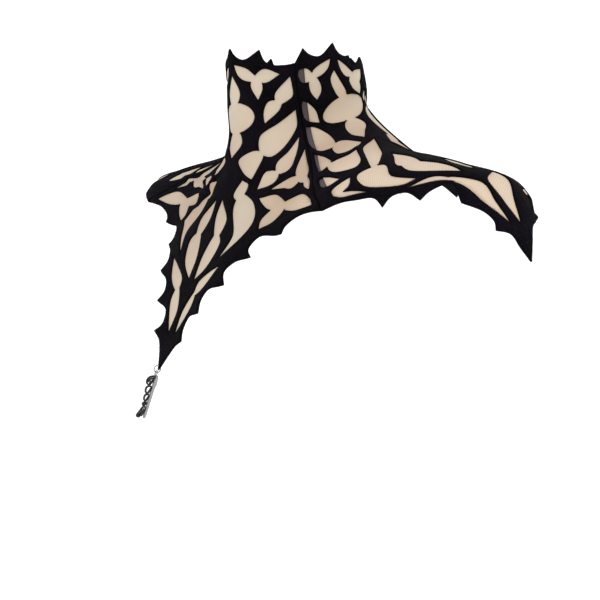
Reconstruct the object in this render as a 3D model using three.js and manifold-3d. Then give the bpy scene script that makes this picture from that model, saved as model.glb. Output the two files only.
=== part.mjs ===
// Embroidered tulle collar: a stand-up neck with a yoke that runs to a long point in front
// and one on each shoulder, and ends in low scallops at the back. Millimetres, +Z up, front
// towards -Y, wearer's left towards +X, origin in the neck hollow at the foot of the stand.
import * as THREE from "three";
import Module from "manifold-3d";

const wasm = await Module();
wasm.setup();

const TULLE_IN = -1.7;         // distance of each layer from the worn shape, outwards
const TULLE_OUT = -0.7;
const TRACERY_IN = -0.4;
const TRACERY_OUT = 0.8;
const TULLE_INSET = 1.3;       // degrees of chart by which the tulle stops inside the tracery edge
const SEAM_GAP = 0.45;         // degrees of chart between two panels at a seam
const SEAM_TOP = -76;          // levels of the closing seam's ends, and the step of its points
const SEAM_FOOT = 77;
const SEAM_STEP = 24;
const LAP_SHORT = 0.8;         // levels by which the mesh strip stops above the foot of the seam
const LAP_CLEAR = 0.2;         // degrees by which the strip tucks in under the closing edge
const SLENDER = 13;            // width in degrees under which a leaf has five corners, not eight
const BROAD = 20;              // width over which a round opening has sixteen corners, not ten
const RING_RADIUS = 2.4;
const RING_WIRE = 0.4;
const RING_SIDES = 12;
const WIRE_SIDES = 5;
const RING_HOLE = { at: [0, 85.8], wide: 0.75, tall: 0.75 };
const PULL_THICK = 2.2;
const EYE_RADIUS = 1.6;
const EYE_WIRE = 0.45;
const EYE_RISE = 1.15;         // how far the eye of the pull reaches up through the ring

// The worn shape. Each row is one level: v, then distance from the neck axis and height
// at the bearings 0 (front), 22.5, 45, 67.5, 90 (shoulder), 112.5, 135 and 180 degrees (back).
const BEARINGS = [0, 22.5, 45, 67.5, 90, 112.5, 135, 180];
const LEVELS = [
  { v: -100, far: [62, 57, 49, 43, 40, 38, 37.5, 38], high: [96, 96, 96, 96, 96, 96, 96, 96] },
  { v: -50, far: [58.5, 56, 51, 46.5, 44.5, 43, 42.5, 42.5], high: [55, 56, 58, 62, 66, 68, 70, 71] },
  { v: 0, far: [60.5, 59, 57, 55, 53.5, 51.5, 50, 48], high: [18, 19, 24, 31, 39, 44, 46, 48] },
  { v: 30, far: [75, 77, 80, 88, 92, 86, 77, 70], high: [-22, -18, -2, 18, 24, 21, 21, 23] },
  { v: 60, far: [95, 99, 103, 132, 150, 130, 104, 94], high: [-70, -56, -29, 8, 13, 4, -8, -18] },
  { v: 75, far: [107, 111, 114, 156, 189, 152, 114, 103], high: [-98, -77, -46, 0, 3, -10, -29, -45] },
  { v: 90, far: [120, 125, 128, 172, 207, 168, 124, 112], high: [-128, -101, -65, -21, -23, -36, -56, -77] },
  { v: 115, far: [134, 140, 146, 184, 209, 180, 138, 122], high: [-172, -145, -105, -66, -72, -84, -102, -122] },
];

// Edge rows: a spike, then two points of the scallop that leads on to the next spike.
const FRONT_RIM = [
  { spike: [0, -91.5], a: [5, -85], b: [13, -81.5] },
  { spike: [24, -88], a: [27.5, -79], b: [33, -75.5] },
];
const FRONT_HEM = [
  { spike: [0, 87], a: [2.8, 82.9], b: [6.4, 79.8] },
  { spike: [11.3, 79.8], a: [8.5, 74.7], b: [9.9, 71] },
  { spike: [17.6, 73.3], a: [16, 67.1], b: [18.6, 64.6] },
  { spike: [28, 68.3], a: [25.9, 60.4], b: [29.8, 59.3] },
  { spike: [37.5, 63.8], a: [35.5, 57], b: [39, 55.2] },
  { spike: [49.3, 66.6], a: [50.4, 64.3], b: [54, 66.3] },
];
const SIDE_RIM = [
  { spike: [54.5, -88.5], a: [60, -83], b: [68.5, -81] },
  { spike: [82.5, -94.5], a: [87.5, -85.5], b: [94, -81.3] },
  { spike: [103, -82.5], a: [105, -75], b: [111, -72.5] },
  { spike: [128, -83], a: [133, -77], b: [143, -75.5] },
  { spike: [156, -88], a: [161, -83], b: [170, -82] },
];
const SIDE_HEM = [
  { spike: [64, 78.8], a: [66.5, 80.5], b: [69, 81.5] },
  { spike: [70.2, 85.3], a: [72, 82], b: [74, 81.3] },
  { spike: [75.6, 84], a: [77.5, 80.8], b: [80.5, 78.3] },
  { spike: [81, 84.2], a: [83.8, 86], b: [85, 88.3] },
  { spike: [84.9, 91], a: [87, 91.3], b: [88.5, 95] },
  { spike: [90.5, 98.5], a: [91, 93], b: [92.2, 88.5] },
  { spike: [95.3, 85.7], a: [92.3, 83], b: [93.5, 78.3] },
  { spike: [99, 76.3], a: [100, 79.5], b: [102, 80.5] },
  { spike: [106, 85], a: [108, 81.5], b: [110, 81.3] },
  { spike: [112, 84], a: [114, 78], b: [118, 72] },
  { spike: [123, 70.5], a: [126, 63.5], b: [129, 59.5] },
  { spike: [132, 61.5], a: [136, 53], b: [140, 49.5] },
  { spike: [144, 53], a: [148.5, 47.5], b: [153.5, 47] },
  { spike: [158, 52], a: [162.5, 47], b: [169, 47] },
];

// Front closing line and, further round, the far edge of the mesh strip that lies under it.
const CLOSING = [
  { v: -100, edge: 47, lap: 54.3 },
  { v: -66, edge: 49.2, lap: 56 },
  { v: -37, edge: 52.3, lap: 58.3 },
  { v: -9, edge: 55.7, lap: 61 },
  { v: 12, edge: 58.5, lap: 62.3 },
  { v: 34, edge: 59.3, lap: 61.8 },
  { v: 60, edge: 59.3, lap: 61.8 },
  { v: 90, edge: 61.5, lap: 64 },
];

// Openings. A leaf is pointed at its tip and rounded at its end; over and under are the
// points of its two bellies, brow and chin lie between them and the tip. Leaves that run
// into each other overlap at their ends.
const FRONT_ROUND = { at: [0, -33.2], wide: 38.5, tall: 31 };
const FRONT_CENTRE = [
  { tip: [0, -71.5], over: [-7.6, -54.5], end: [0, -43], under: [7.6, -54.5] },
  { tip: [0, 1], over: [-8.8, -9.5], end: [0, -24], under: [8.8, -9.5] },
];
const FRONT_LEAVES = [
  { tip: [3, -78.8], over: [14.7, -73.9], end: [22.8, -63.4], under: [12.2, -65.3],
    chin: [6.4, -70.1] },
  { tip: [38, -67.7], over: [26.5, -72.6], end: [19.4, -65.5], under: [27.8, -61.6] },
  { tip: [22.7, -47.8], over: [25.9, -58.6], end: [21.4, -68.4], under: [16.9, -61.4] },
  { tip: [45, -65.2], brow: [46.5, -57.8], over: [46.9, -47.4], end: [37, -41.8], under: [34.6, -51.2] },
  { tip: [26.9, -24.5], brow: [26.4, -35.9], over: [30.3, -45.6], end: [38.9, -45.2], under: [38, -37] },
  { tip: [49.4, -34.2], brow: [37.2, -23.6], over: [23.4, -13.2], end: [26.2, -0.7], under: [38, 2.6],
    chin: [49.9, -16.1] },
  { tip: [24.9, 14.1], brow: [14.6, 8.1], over: [8.6, 2], end: [20.5, -3], under: [28.4, -0.2] },
  { tip: [52.3, -7.1], brow: [45.6, 3.8], over: [39.5, 9.5], end: [41.4, 17.6], under: [48.1, 19.7],
    chin: [51.1, 9.1] },
  { tip: [30.6, 21.2], over: [33.2, 12.3], end: [42.4, 16.9], under: [41.5, 23.2] },
  { tip: [56.2, 6.8], over: [52.1, 24.9], end: [56.1, 42.2], under: [58, 34.5], chin: [57, 16.6] },
  { tip: [39.8, 26.6], over: [50.2, 27.2], end: [56.3, 35], under: [52.4, 38.9], chin: [47, 32.1] },
  { tip: [33.9, 27.8], over: [43.8, 33.5], end: [50, 50.8], under: [42.1, 41.9], chin: [37, 33.3] },
  { tip: [38.5, 50.2], brow: [38.8, 44.4], over: [42.7, 42.7], end: [46.2, 40.3], under: [49.5, 52.2],
    chin: [45.7, 53.7] },
  { tip: [58.4, 69.3], brow: [57.7, 61.2], over: [54.8, 51.2], end: [46.9, 44.2], under: [52.4, 58.5] },
  { tip: [18.5, 51.5], brow: [23.6, 42.5], over: [16.5, 25], end: [18.8, 19.8], under: [30.1, 27.4],
    chin: [34, 43.3] },
  { tip: [16.9, 13], over: [23.7, 16.9], end: [20.3, 23.2], under: [12.9, 19.7] },
  { tip: [3.4, 21.3], over: [2.8, 30.5], end: [10.2, 40.8], under: [14.5, 32.5] },
  { tip: [2.4, 56.2], over: [2.6, 46.5], end: [8.6, 37], under: [15.4, 42.5], chin: [11.8, 51.2] },
  { tip: [22, 55.7], brow: [15.3, 55.5], over: [7.6, 57.8], end: [7.6, 62.4], under: [14.8, 61.8] },
  { tip: [2.6, 75.6], over: [2.3, 67.2], end: [8.2, 60.4], under: [9.6, 66.5] },
];
const FRONT_SLITS = [
  { tip: [57.9, 54.7], over: [56.1, 45.2], end: [56.4, 34.6], under: [58.1, 44.2] },
];
const SIDE_ROUND = { at: [96.5, -20.8], wide: 50.5, tall: 31 };
const SIDE_LEAVES = [
  { tip: [51, -65], brow: [51.8, -69.6], over: [57.7, -70.3], end: [64.8, -60], under: [54.6, -58.2] },
  { tip: [79.3, -78.2], over: [64.9, -69.9], end: [59.4, -61], under: [68.8, -62],
    chin: [76.6, -68.9] },
  { tip: [66.3, -39.2], brow: [69.7, -47], over: [68.3, -56.9], end: [61, -66.7], under: [59.6, -56],
    chin: [61.7, -46.5] },
  { tip: [82.6, -66.2], brow: [78.7, -57.5], over: [83.3, -40.5], end: [92, -29.5], under: [95.4, -35],
    chin: [87.8, -55.4] },
  { tip: [86.9, -77.5], over: [100.9, -67.8], end: [110.9, -58], under: [95.4, -58.6],
    chin: [89.4, -67.6] },
  { tip: [116.3, -33.3], brow: [103.1, -43.9], over: [99.4, -54.7], end: [105.9, -63.9], under: [116.4, -54],
    chin: [117.7, -43.1] },
  { tip: [125.3, -68.1], over: [108, -65], end: [102.5, -57.5], under: [113.4, -50.5],
    chin: [122.4, -58] },
  { tip: [88.5, 16.1], brow: [95.5, 9], over: [104.4, 1.5], end: [95.5, -8], under: [87, -2.6],
    chin: [84.3, 10.8] },
  { tip: [68.1, -16.1], over: [64.7, -29.9], end: [54.9, -41], under: [57, -22.6] },
  { tip: [127, -17.5], over: [122.5, -30], end: [126, -42], under: [128.8, -30] },
  { tip: [76.2, 76.5], brow: [73, 74.4], over: [74.1, 62.3], end: [68.4, 67], under: [68.7, 77.1],
    chin: [73.3, 78.9] },
  { tip: [74.3, 79.9], over: [79.6, 75.3], end: [83, 77.8], under: [79.8, 77.3] },
  { tip: [87.5, 88.4], brow: [86.1, 82.7], over: [85.3, 76.7], end: [81, 75.6], under: [82.4, 80.4] },
  { tip: [89.4, 88.2], brow: [89.9, 80.9], over: [92.5, 73.3], end: [93.2, 69.3], under: [87.1, 75.2],
    chin: [87.5, 82.2] },
  { tip: [94.5, 49.6], over: [90.4, 57.5], end: [87.9, 68.4], under: [94, 60.5] },
  { tip: [97.5, 33], over: [90.8, 42], end: [93, 47], under: [97.2, 42] },
];
// Leaves that stand on both sides of a shoulder, mirrored about SIDE_AXIS. The first two
// of the left ones are mirrored too.
const SIDE_AXIS = 94;
const SIDE_PAIRS = [
  { tip: [56.8, -15.5], brow: [64.4, -12.3], over: [72.4, -0.6], end: [71.9, 16.8], under: [66.1, 20],
    chin: [59.9, 7.5] },
  { tip: [83.8, 20.9], over: [74.7, 13.4], end: [70.6, 16.2], under: [70.1, 31.9],
    chin: [74.7, 31.1] },
  { tip: [92.7, 18.6], brow: [86.2, 30.2], over: [77.6, 50.1], end: [71.7, 65.5], under: [74.6, 46.3],
    chin: [81, 28.1] },
  { tip: [81.7, 46.3], over: [83.6, 53.3], end: [79.8, 66], under: [76, 67.5] },
  { tip: [84.1, 72.3], over: [85, 62], end: [79.2, 60.8], under: [76.2, 72.4] },
];
const LEFT_LEAVES = [
  { tip: [60.8, 17.5], over: [64.9, 28.5], end: [65.4, 41.2], under: [62, 45], chin: [61, 33.9] },
  { tip: [76.1, 32.5], brow: [70.6, 37.8], over: [67, 39.2], end: [64.6, 40.8], under: [65.2, 56.5],
    chin: [68.6, 59.6] },
  { tip: [65.2, 64.4], over: [62.6, 55], end: [60.9, 51.6], under: [61.3, 62.5], chin: [63, 65.2] },
  { tip: [66.8, 67], over: [62.9, 69.6], end: [63.4, 75.2], under: [65.4, 74] },
  { tip: [68.6, 79.2], over: [65.6, 75.9], end: [62.9, 73.2], under: [64.4, 77.2] },
];
const RIGHT_LEAVES = [
  { tip: [60.8, 35], over: [61, 19], end: [63.2, 38.6], under: [61.9, 40.6] },
  { tip: [66.5, 34.7], over: [65.8, 46.9], end: [64, 61.3], under: [61.5, 47.3] },
  { tip: [74.5, 36], over: [70.5, 47], end: [67, 66], under: [68.2, 52] },
];
// The back repeats the front leaves that stay within this bearing and level.
const BACK_REACH = [50.5, 51];

// Grid lines of the panels, closer where the shoulder turns over.
const FRONT_BEARINGS = [-64.3, -48.7, -32.3, -16.3, 0.3, 16.7, 32.3, 48.7, 64.3];
const SIDE_BEARINGS = [32.3, 48.7, 64.3, 75.3, 84.7, 93.3, 104.3, 118.3, 133.3, 149.7, 165.3, 180];
const GRID_LEVELS = [-97.3, -50.3, -12.3, 8.3, 27.7, 46.3, 61.3, 74.3, 84.7, 93.3, 102.7];

// The pull, seen from its flat side: down its length, then away from the chest.
const PULL_BAR = [[1.8, -1.6], [31, -1.6], [31.6, -0.8], [31, 0], [1.8, 0]];
const PULL_TOP = [[1.8, -1.6], [3.4, 3.2], [5.2, 5], [8.2, 5], [9.6, 3], [9.6, -1.6]];
const PULL_NODE = [[20.4, -0.6], [20.4, 3.4], [22, 4.6], [23.6, 3.4], [23.6, -0.6]];
const PULL_FOOT = [[23.4, -0.6], [23.4, 2.6], [30.6, 6.6], [31.6, 5], [31, -0.6]];
const PULL_LOOPS = [
  { at: [12.4, 2.2], wide: 7, tall: 6 },
  { at: [17.8, 2], wide: 6.4, tall: 5.6 },
];
const PULL_HOLES = [
  { at: [12.4, 2.2], wide: 4, tall: 3 },
  { at: [17.8, 2], wide: 3.6, tall: 2.7 },
  { at: [6.6, 2.2], wide: 3, tall: 2.4 },
  { at: [28, 2.2], wide: 3.2, tall: 2.4 },
];

const black = new THREE.MeshStandardMaterial({ name: "black_embroidery", color: 0x14101a, roughness: 0.9 });
const nude = new THREE.MeshStandardMaterial({ name: "nude_tulle", color: 0xdccbb6, roughness: 0.85 });
const smoke = new THREE.MeshStandardMaterial({ name: "dark_mesh", color: 0x3a3236, roughness: 0.85 });
const silver = new THREE.MeshStandardMaterial({
  name: "old_silver", color: 0xa8a8a6, roughness: 0.4, metalness: 1,
});

// Smooth curve through uneven knots.
function through(xs, ys, x) {
  let i = 0;
  while (i < xs.length - 2 && x >= xs[i + 1]) {
    i += 1;
  }
  const slope = (k) => (ys[k + 1] - ys[k]) / (xs[k + 1] - xs[k]);
  const tangent = (k) => {
    if (k === 0) {
      return slope(0);
    }
    if (k === xs.length - 1) {
      return slope(k - 1);
    }
    const before = xs[k] - xs[k - 1];
    const after = xs[k + 1] - xs[k];
    return (slope(k - 1) * after + slope(k) * before) / (before + after);
  };
  const h = xs[i + 1] - xs[i];
  const t = (x - xs[i]) / h;
  const t2 = t * t;
  const t3 = t2 * t;
  return (2 * t3 - 3 * t2 + 1) * ys[i] + (t3 - 2 * t2 + t) * h * tangent(i)
    + (3 * t2 - 2 * t3) * ys[i + 1] + (t3 - t2) * h * tangent(i + 1);
}

// Bearing u is mirrored about 0 and about 180, so one half of the rows serves the whole.
function around(values, u) {
  const bearings = [-45, -22.5, ...BEARINGS, 225];
  const row = [values[2], values[1], ...values, values[6]];
  return through(bearings, row, u);
}

function wornPoint(u, v) {
  let bearing = Math.abs(u);
  let side = Math.sign(u) || 1;
  if (bearing > 180) {
    bearing = 360 - bearing;
    side = -side;
  }
  const vs = LEVELS.map((level) => level.v);
  const far = through(vs, LEVELS.map((level) => around(level.far, bearing)), v);
  const high = through(vs, LEVELS.map((level) => around(level.high, bearing)), v);
  const angle = THREE.MathUtils.degToRad(bearing);
  return new THREE.Vector3(side * far * Math.sin(angle), -far * Math.cos(angle), high);
}

function wornNormal(u, v) {
  const step = 0.5;
  const across = wornPoint(u + step, v).sub(wornPoint(u - step, v));
  const down = wornPoint(u, v + step).sub(wornPoint(u, v - step));
  return down.cross(across).normalize();
}

function lines(from, to, step) {
  const count = Math.max(1, Math.round((to - from) / step));
  return Array.from({ length: count + 1 }, (_, k) => from + (to - from) * k / count);
}

// A faceted grid of the worn shape: all layers of a panel are laid on the same facets,
// so that they keep their distance everywhere.
function makeGrid(us, vs) {
  const points = us.map((u) => vs.map((v) => wornPoint(u, v)));
  const normals = us.map((u) => vs.map((v) => wornNormal(u, v)));
  const find = (list, x) => {
    let k = 0;
    while (k < list.length - 2 && x >= list[k + 1]) {
      k += 1;
    }
    return k;
  };
  const place = (u, v, w) => {
    const i = find(us, u);
    const j = find(vs, v);
    const a = (u - us[i]) / (us[i + 1] - us[i]);
    const b = (v - vs[j]) / (vs[j + 1] - vs[j]);
    const corner = (di, dj, weight, sum) => {
      sum.addScaledVector(points[i + di][j + dj], weight);
      sum.addScaledVector(normals[i + di][j + dj], weight * w);
      return sum;
    };
    const sum = new THREE.Vector3();
    corner(0, 0, 1 - Math.max(a, b), sum);
    corner(1, 1, Math.min(a, b), sum);
    if (a >= b) {
      corner(1, 0, a - b, sum);
    } else {
      corner(0, 1, b - a, sum);
    }
    return sum;
  };
  return { us, vs, place };
}

const BULGE = 0.002;
const SLAB = 4;
const bulge = (u, v) => BULGE * (u * u + v * v + u * v);

function solidOf(positions, faces) {
  const vertProperties = new Float32Array(positions.flat());
  const triVerts = new Uint32Array(faces.flat());
  return new wasm.Manifold(new wasm.Mesh({ numProp: 3, vertProperties, triVerts }));
}

// The chart slab bulges a little so that its grid lines survive the cutting.
function chartSlab({ us, vs }) {
  const positions = [];
  const faces = [];
  const index = (i, j, top) => (top * us.length + i) * vs.length + j;
  for (const top of [0, 1]) {
    for (const u of us) {
      for (const v of vs) {
        positions.push([u, v, bulge(u, v) + top * SLAB]);
      }
    }
  }
  for (let i = 0; i < us.length - 1; i += 1) {
    for (let j = 0; j < vs.length - 1; j += 1) {
      const [a, b, c, d] = [[i, j], [i + 1, j], [i + 1, j + 1], [i, j + 1]];
      faces.push([index(...a, 1), index(...b, 1), index(...c, 1)]);
      faces.push([index(...a, 1), index(...c, 1), index(...d, 1)]);
      faces.push([index(...a, 0), index(...c, 0), index(...b, 0)]);
      faces.push([index(...a, 0), index(...d, 0), index(...c, 0)]);
    }
  }
  const wall = (p, q) => {
    faces.push([index(...p, 0), index(...q, 0), index(...q, 1)]);
    faces.push([index(...p, 0), index(...q, 1), index(...p, 1)]);
  };
  const lastU = us.length - 1;
  const lastV = vs.length - 1;
  for (let i = 0; i < lastU; i += 1) {
    wall([i, 0], [i + 1, 0]);
    wall([i + 1, lastV], [i, lastV]);
  }
  for (let j = 0; j < lastV; j += 1) {
    wall([lastU, j], [lastU, j + 1]);
    wall([0, j + 1], [0, j]);
  }
  return solidOf(positions, faces);
}

function prism(outline, low = -30, high = 150) {
  const ring = outline.map(([x, y]) => new THREE.Vector2(x, y));
  if (THREE.ShapeUtils.isClockWise(ring)) {
    ring.reverse();
  }
  const count = ring.length;
  const positions = [low, high].flatMap((z) => ring.map((p) => [p.x, p.y, z]));
  const faces = [];
  for (const [a, b, c] of THREE.ShapeUtils.triangulateShape(ring, [])) {
    faces.push([a, c, b]);
    faces.push([a + count, b + count, c + count]);
  }
  for (let k = 0; k < count; k += 1) {
    const next = (k + 1) % count;
    faces.push([k, next, next + count]);
    faces.push([k, next + count, k + count]);
  }
  return solidOf(positions, faces);
}

function leafOutline({ tip, brow, over, end, under, chin }) {
  const knots = [tip, brow, over, end, under, chin, tip].filter(Boolean);
  const at = [0];
  for (let k = 1; k < knots.length; k += 1) {
    const step = Math.hypot(knots[k][0] - knots[k - 1][0], knots[k][1] - knots[k - 1][1]);
    at.push(at[k - 1] + Math.sqrt(step));
  }
  const wide = Math.hypot(under[0] - over[0], under[1] - over[1]);
  const last = knots.length - 1;
  let stops = lines(0, last - 0.5, 0.5);
  if (wide < SLENDER) {
    stops = last > 4 ? lines(0, last - 1, 1) : [0, 1, 1.65, 2.35, 3];
  }
  return stops.map((stop) => {
    const k = Math.floor(stop);
    const along = at[k] + (at[k + 1] - at[k]) * (stop - k);
    return [0, 1].map((axis) => through(at, knots.map((point) => point[axis]), along));
  });
}

function roundOutline({ at, wide, tall }) {
  const sides = wide > BROAD ? 16 : 10;
  return Array.from({ length: sides }, (_, k) => {
    const angle = (k + 0.5) * 2 * Math.PI / sides;
    return [at[0] + wide / 2 * Math.cos(angle), at[1] + tall / 2 * Math.sin(angle)];
  });
}

function mirrored(row, axis = 0) {
  return Object.fromEntries(Object.entries(row).map(([key, [u, v]]) => [key, [2 * axis - u, v]]));
}

function edgePoints(rows, spiked = true) {
  return rows.flatMap(({ spike, a, b }) => (spiked ? [spike, a, b] : [a, b]));
}

function closingLine(column, offset, from, to) {
  const at = (v) => through(CLOSING.map((row) => row.v), CLOSING.map((row) => row[column]), v);
  return lines(from, to, SEAM_STEP).map((v) => [at(v) + offset, v]);
}

// Outlines run clockwise as seen in the chart: along the rim, down a side, back along the hem.
function frontOutline(spiked) {
  const flip = ([u, v]) => [-u, v];
  const rim = [...edgePoints(FRONT_RIM, spiked), [42, -75]];
  const side = closingLine("edge", 0, SEAM_TOP, SEAM_FOOT);
  const half = [...rim, ...side, ...edgePoints(FRONT_HEM, spiked).reverse()];
  const other = half.filter(([u]) => u > 0).map(flip).reverse();
  return [...half, ...other];
}

function sideOutline(spiked) {
  const front = closingLine("edge", SEAM_GAP, SEAM_TOP, SEAM_FOOT).reverse();
  const back = [[180 - SEAM_GAP / 2, spiked ? -91 : -86], [180 - SEAM_GAP / 2, spiked ? 53 : 49]];
  const hem = [...(spiked ? [] : [SIDE_HEM[0].spike]), ...edgePoints(SIDE_HEM, spiked)].reverse();
  return [...edgePoints(SIDE_RIM, spiked), ...back, ...hem, ...front];
}

// Moves each corner of an outline inwards by a fixed distance.
function inset(outline, distance) {
  const area = THREE.ShapeUtils.area(outline.map(([x, y]) => new THREE.Vector2(x, y)));
  const turn = Math.sign(area);
  return outline.map((point, k) => {
    const before = outline[(k + outline.length - 1) % outline.length];
    const after = outline[(k + 1) % outline.length];
    const normal = (p, q) => {
      const length = Math.hypot(q[0] - p[0], q[1] - p[1]);
      return [-(q[1] - p[1]) / length * turn, (q[0] - p[0]) / length * turn];
    };
    const n1 = normal(before, point);
    const n2 = normal(point, after);
    const scale = distance / Math.max(0.35, 1 + n1[0] * n2[0] + n1[1] * n2[1]);
    return [point[0] + (n1[0] + n2[0]) * scale, point[1] + (n1[1] + n2[1]) * scale];
  });
}

// The upper face of a cut slab, as chart points and triangles.
function upperFace(solid) {
  const mesh = solid.getMesh();
  const chart = Array.from({ length: mesh.numVert }, (_, k) => {
    const [u, v, w] = mesh.vertProperties.slice(k * mesh.numProp, k * mesh.numProp + 3);
    return { u, v, upper: w - bulge(u, v) > SLAB / 2 };
  });
  const triangles = [];
  for (let k = 0; k < mesh.triVerts.length; k += 3) {
    const [a, b, c] = mesh.triVerts.slice(k, k + 3);
    const [p, q, r] = [chart[a], chart[b], chart[c]];
    const area = (q.u - p.u) * (r.v - p.v) - (r.u - p.u) * (q.v - p.v);
    if (p.upper && q.upper && r.upper && area > 1e-7) {
      triangles.push([a, b, c]);
    }
  }
  return { chart, triangles };
}

// Lays the cut chart on the worn shape, between two distances from it. The chart (bearing,
// level, outwards) is left-handed, so its faces are turned over unless it is mirrored.
function wornBody(name, solid, grid, inner, outer, material, flip = 1) {
  const { chart, triangles } = upperFace(solid);
  const used = [...new Set(triangles.flat())];
  const rank = new Map(used.map((k, order) => [k, order]));
  const positions = [];
  for (const distance of [outer, inner]) {
    for (const k of used) {
      const point = grid.place(chart[k].u, chart[k].v, distance);
      positions.push(point.x * flip, point.y, point.z);
    }
  }
  const index = [];
  const add = (a, b, c) => index.push(...(flip > 0 ? [a, c, b] : [a, b, c]));
  const edges = new Set(triangles.flatMap(([a, b, c]) => [`${a} ${b}`, `${b} ${c}`, `${c} ${a}`]));
  for (const triangle of triangles) {
    const [a, b, c] = triangle.map((k) => rank.get(k));
    add(a, b, c);
    add(a + used.length, c + used.length, b + used.length);
  }
  for (const edge of edges) {
    const [from, to] = edge.split(" ").map(Number);
    if (!edges.has(`${to} ${from}`)) {
      const [a, b] = [rank.get(from), rank.get(to)];
      add(a, a + used.length, b + used.length);
      add(a, b + used.length, b);
    }
  }
  const geometry = new THREE.BufferGeometry();
  geometry.setAttribute("position", new THREE.Float32BufferAttribute(positions, 3));
  geometry.setIndex(index);
  geometry.computeVertexNormals();
  const body = new THREE.Mesh(geometry, material);
  body.name = name;
  return body;
}

function cutPanel(grid, outline, openings) {
  const cuts = wasm.Manifold.union(openings.map((opening) => prism(opening)));
  return chartSlab(grid).intersect(prism(outline)).subtract(cuts);
}

const group = new THREE.Group();
group.name = "embroidered_tulle_collar";

const frontGrid = makeGrid(FRONT_BEARINGS, GRID_LEVELS.slice(0, -1));
const frontRows = [...FRONT_LEAVES, ...FRONT_SLITS];
const frontOpenings = [
  ...FRONT_CENTRE.map(leafOutline),
  roundOutline(FRONT_ROUND),
  roundOutline(RING_HOLE),
  ...frontRows.map(leafOutline),
  ...frontRows.map((row) => leafOutline(mirrored(row))),
];
const frontTracery = cutPanel(frontGrid, frontOutline(true), frontOpenings);
const frontTulle = chartSlab(frontGrid).intersect(prism(inset(frontOutline(false), TULLE_INSET)));
group.add(wornBody("tracery_front", frontTracery, frontGrid, TRACERY_IN, TRACERY_OUT, black));
group.add(wornBody("tulle_front", frontTulle, frontGrid, TULLE_IN, TULLE_OUT, nude));

const sideGrid = makeGrid(SIDE_BEARINGS, GRID_LEVELS);
const backRows = FRONT_LEAVES.filter((row) => (
  Object.values(row).every(([u, v]) => u < BACK_REACH[0] && v < BACK_REACH[1])
));
const sideRows = [
  ...SIDE_LEAVES,
  ...SIDE_PAIRS,
  ...[...SIDE_PAIRS, ...LEFT_LEAVES.slice(0, 2)].map((row) => mirrored(row, SIDE_AXIS)),
  ...backRows.map((row) => mirrored(row, 90)),
];
const sideTracery = (ownRows) => cutPanel(sideGrid, sideOutline(true), [
  roundOutline(SIDE_ROUND),
  ...[...sideRows, ...ownRows].map(leafOutline),
]);
const rightTulle = chartSlab(sideGrid).intersect(prism(inset(sideOutline(false), TULLE_INSET)));
const beyondLap = [...closingLine("lap", SEAM_GAP, -100, 90), [200, 90], [200, -100]];
const leftTulle = rightTulle.intersect(prism(beyondLap));
const sides = [
  { side: "left", flip: 1, tracery: sideTracery(LEFT_LEAVES), tulle: leftTulle },
  { side: "right", flip: -1, tracery: sideTracery(RIGHT_LEAVES), tulle: rightTulle },
];
for (const { side, flip, tracery, tulle } of sides) {
  group.add(wornBody(`tracery_${side}`, tracery, sideGrid, TRACERY_IN, TRACERY_OUT, black, flip));
  group.add(wornBody(`tulle_${side}`, tulle, sideGrid, TULLE_IN, TULLE_OUT, nude, flip));
}

// The dark mesh strip under the closing edge, on the wearer's left.
const lapOutline = [
  ...closingLine("lap", 0, SEAM_TOP, SEAM_FOOT - LAP_SHORT),
  ...closingLine("edge", -LAP_CLEAR, SEAM_TOP, SEAM_FOOT - LAP_SHORT).reverse(),
];
const underlap = chartSlab(sideGrid).intersect(prism(lapOutline));
group.add(wornBody("underlap_strip", underlap, sideGrid, TULLE_IN, TULLE_OUT, smoke));

// Ring and pull at the front point. Their own axes are: down the slope, away from the
// chest, and across.
const down = wornPoint(0, 100).sub(wornPoint(0, 88)).normalize();
const away = wornNormal(0, 92);
const across = new THREE.Vector3(-1, 0, 0);
const ringCentre = frontGrid.place(...RING_HOLE.at, (TRACERY_IN + TRACERY_OUT) / 2)
  .addScaledVector(down, RING_RADIUS);
const pullTop = ringCentre.clone().addScaledVector(down, RING_RADIUS);

// A wire ring in the plane of the first two axes, or with the plane turned to face outwards.
function wireRing(radius, wire, turned, centre = 0) {
  const around = RING_SIDES;
  const section = WIRE_SIDES;
  const positions = [];
  const faces = [];
  for (let k = 0; k < around; k += 1) {
    const a = 2 * Math.PI * k / around;
    for (let m = 0; m < section; m += 1) {
      const b = 2 * Math.PI * m / section;
      const reach = radius + wire * Math.cos(b);
      const point = [centre + reach * Math.cos(a), reach * Math.sin(a), wire * Math.sin(b)];
      positions.push(turned ? [point[0], -point[2], point[1]] : point);
      const [k2, m2] = [(k + 1) % around, (m + 1) % section];
      const corner = (i, j) => i * section + j;
      faces.push([corner(k, m), corner(k2, m), corner(k2, m2)]);
      faces.push([corner(k, m), corner(k2, m2), corner(k, m2)]);
    }
  }
  return solidOf(positions, faces);
}

function pullSolid() {
  const half = PULL_THICK / 2;
  const plates = [PULL_BAR, PULL_TOP, PULL_NODE, PULL_FOOT, ...PULL_LOOPS.map(roundOutline)];
  const holes = PULL_HOLES.map((row) => prism(roundOutline(row), -9, 9));
  return wasm.Manifold.union(plates.map((outline) => prism(outline, -half, half)))
    .subtract(wasm.Manifold.union(holes))
    .add(wireRing(EYE_RADIUS, EYE_WIRE, true, EYE_RADIUS - EYE_RISE));
}

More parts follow.
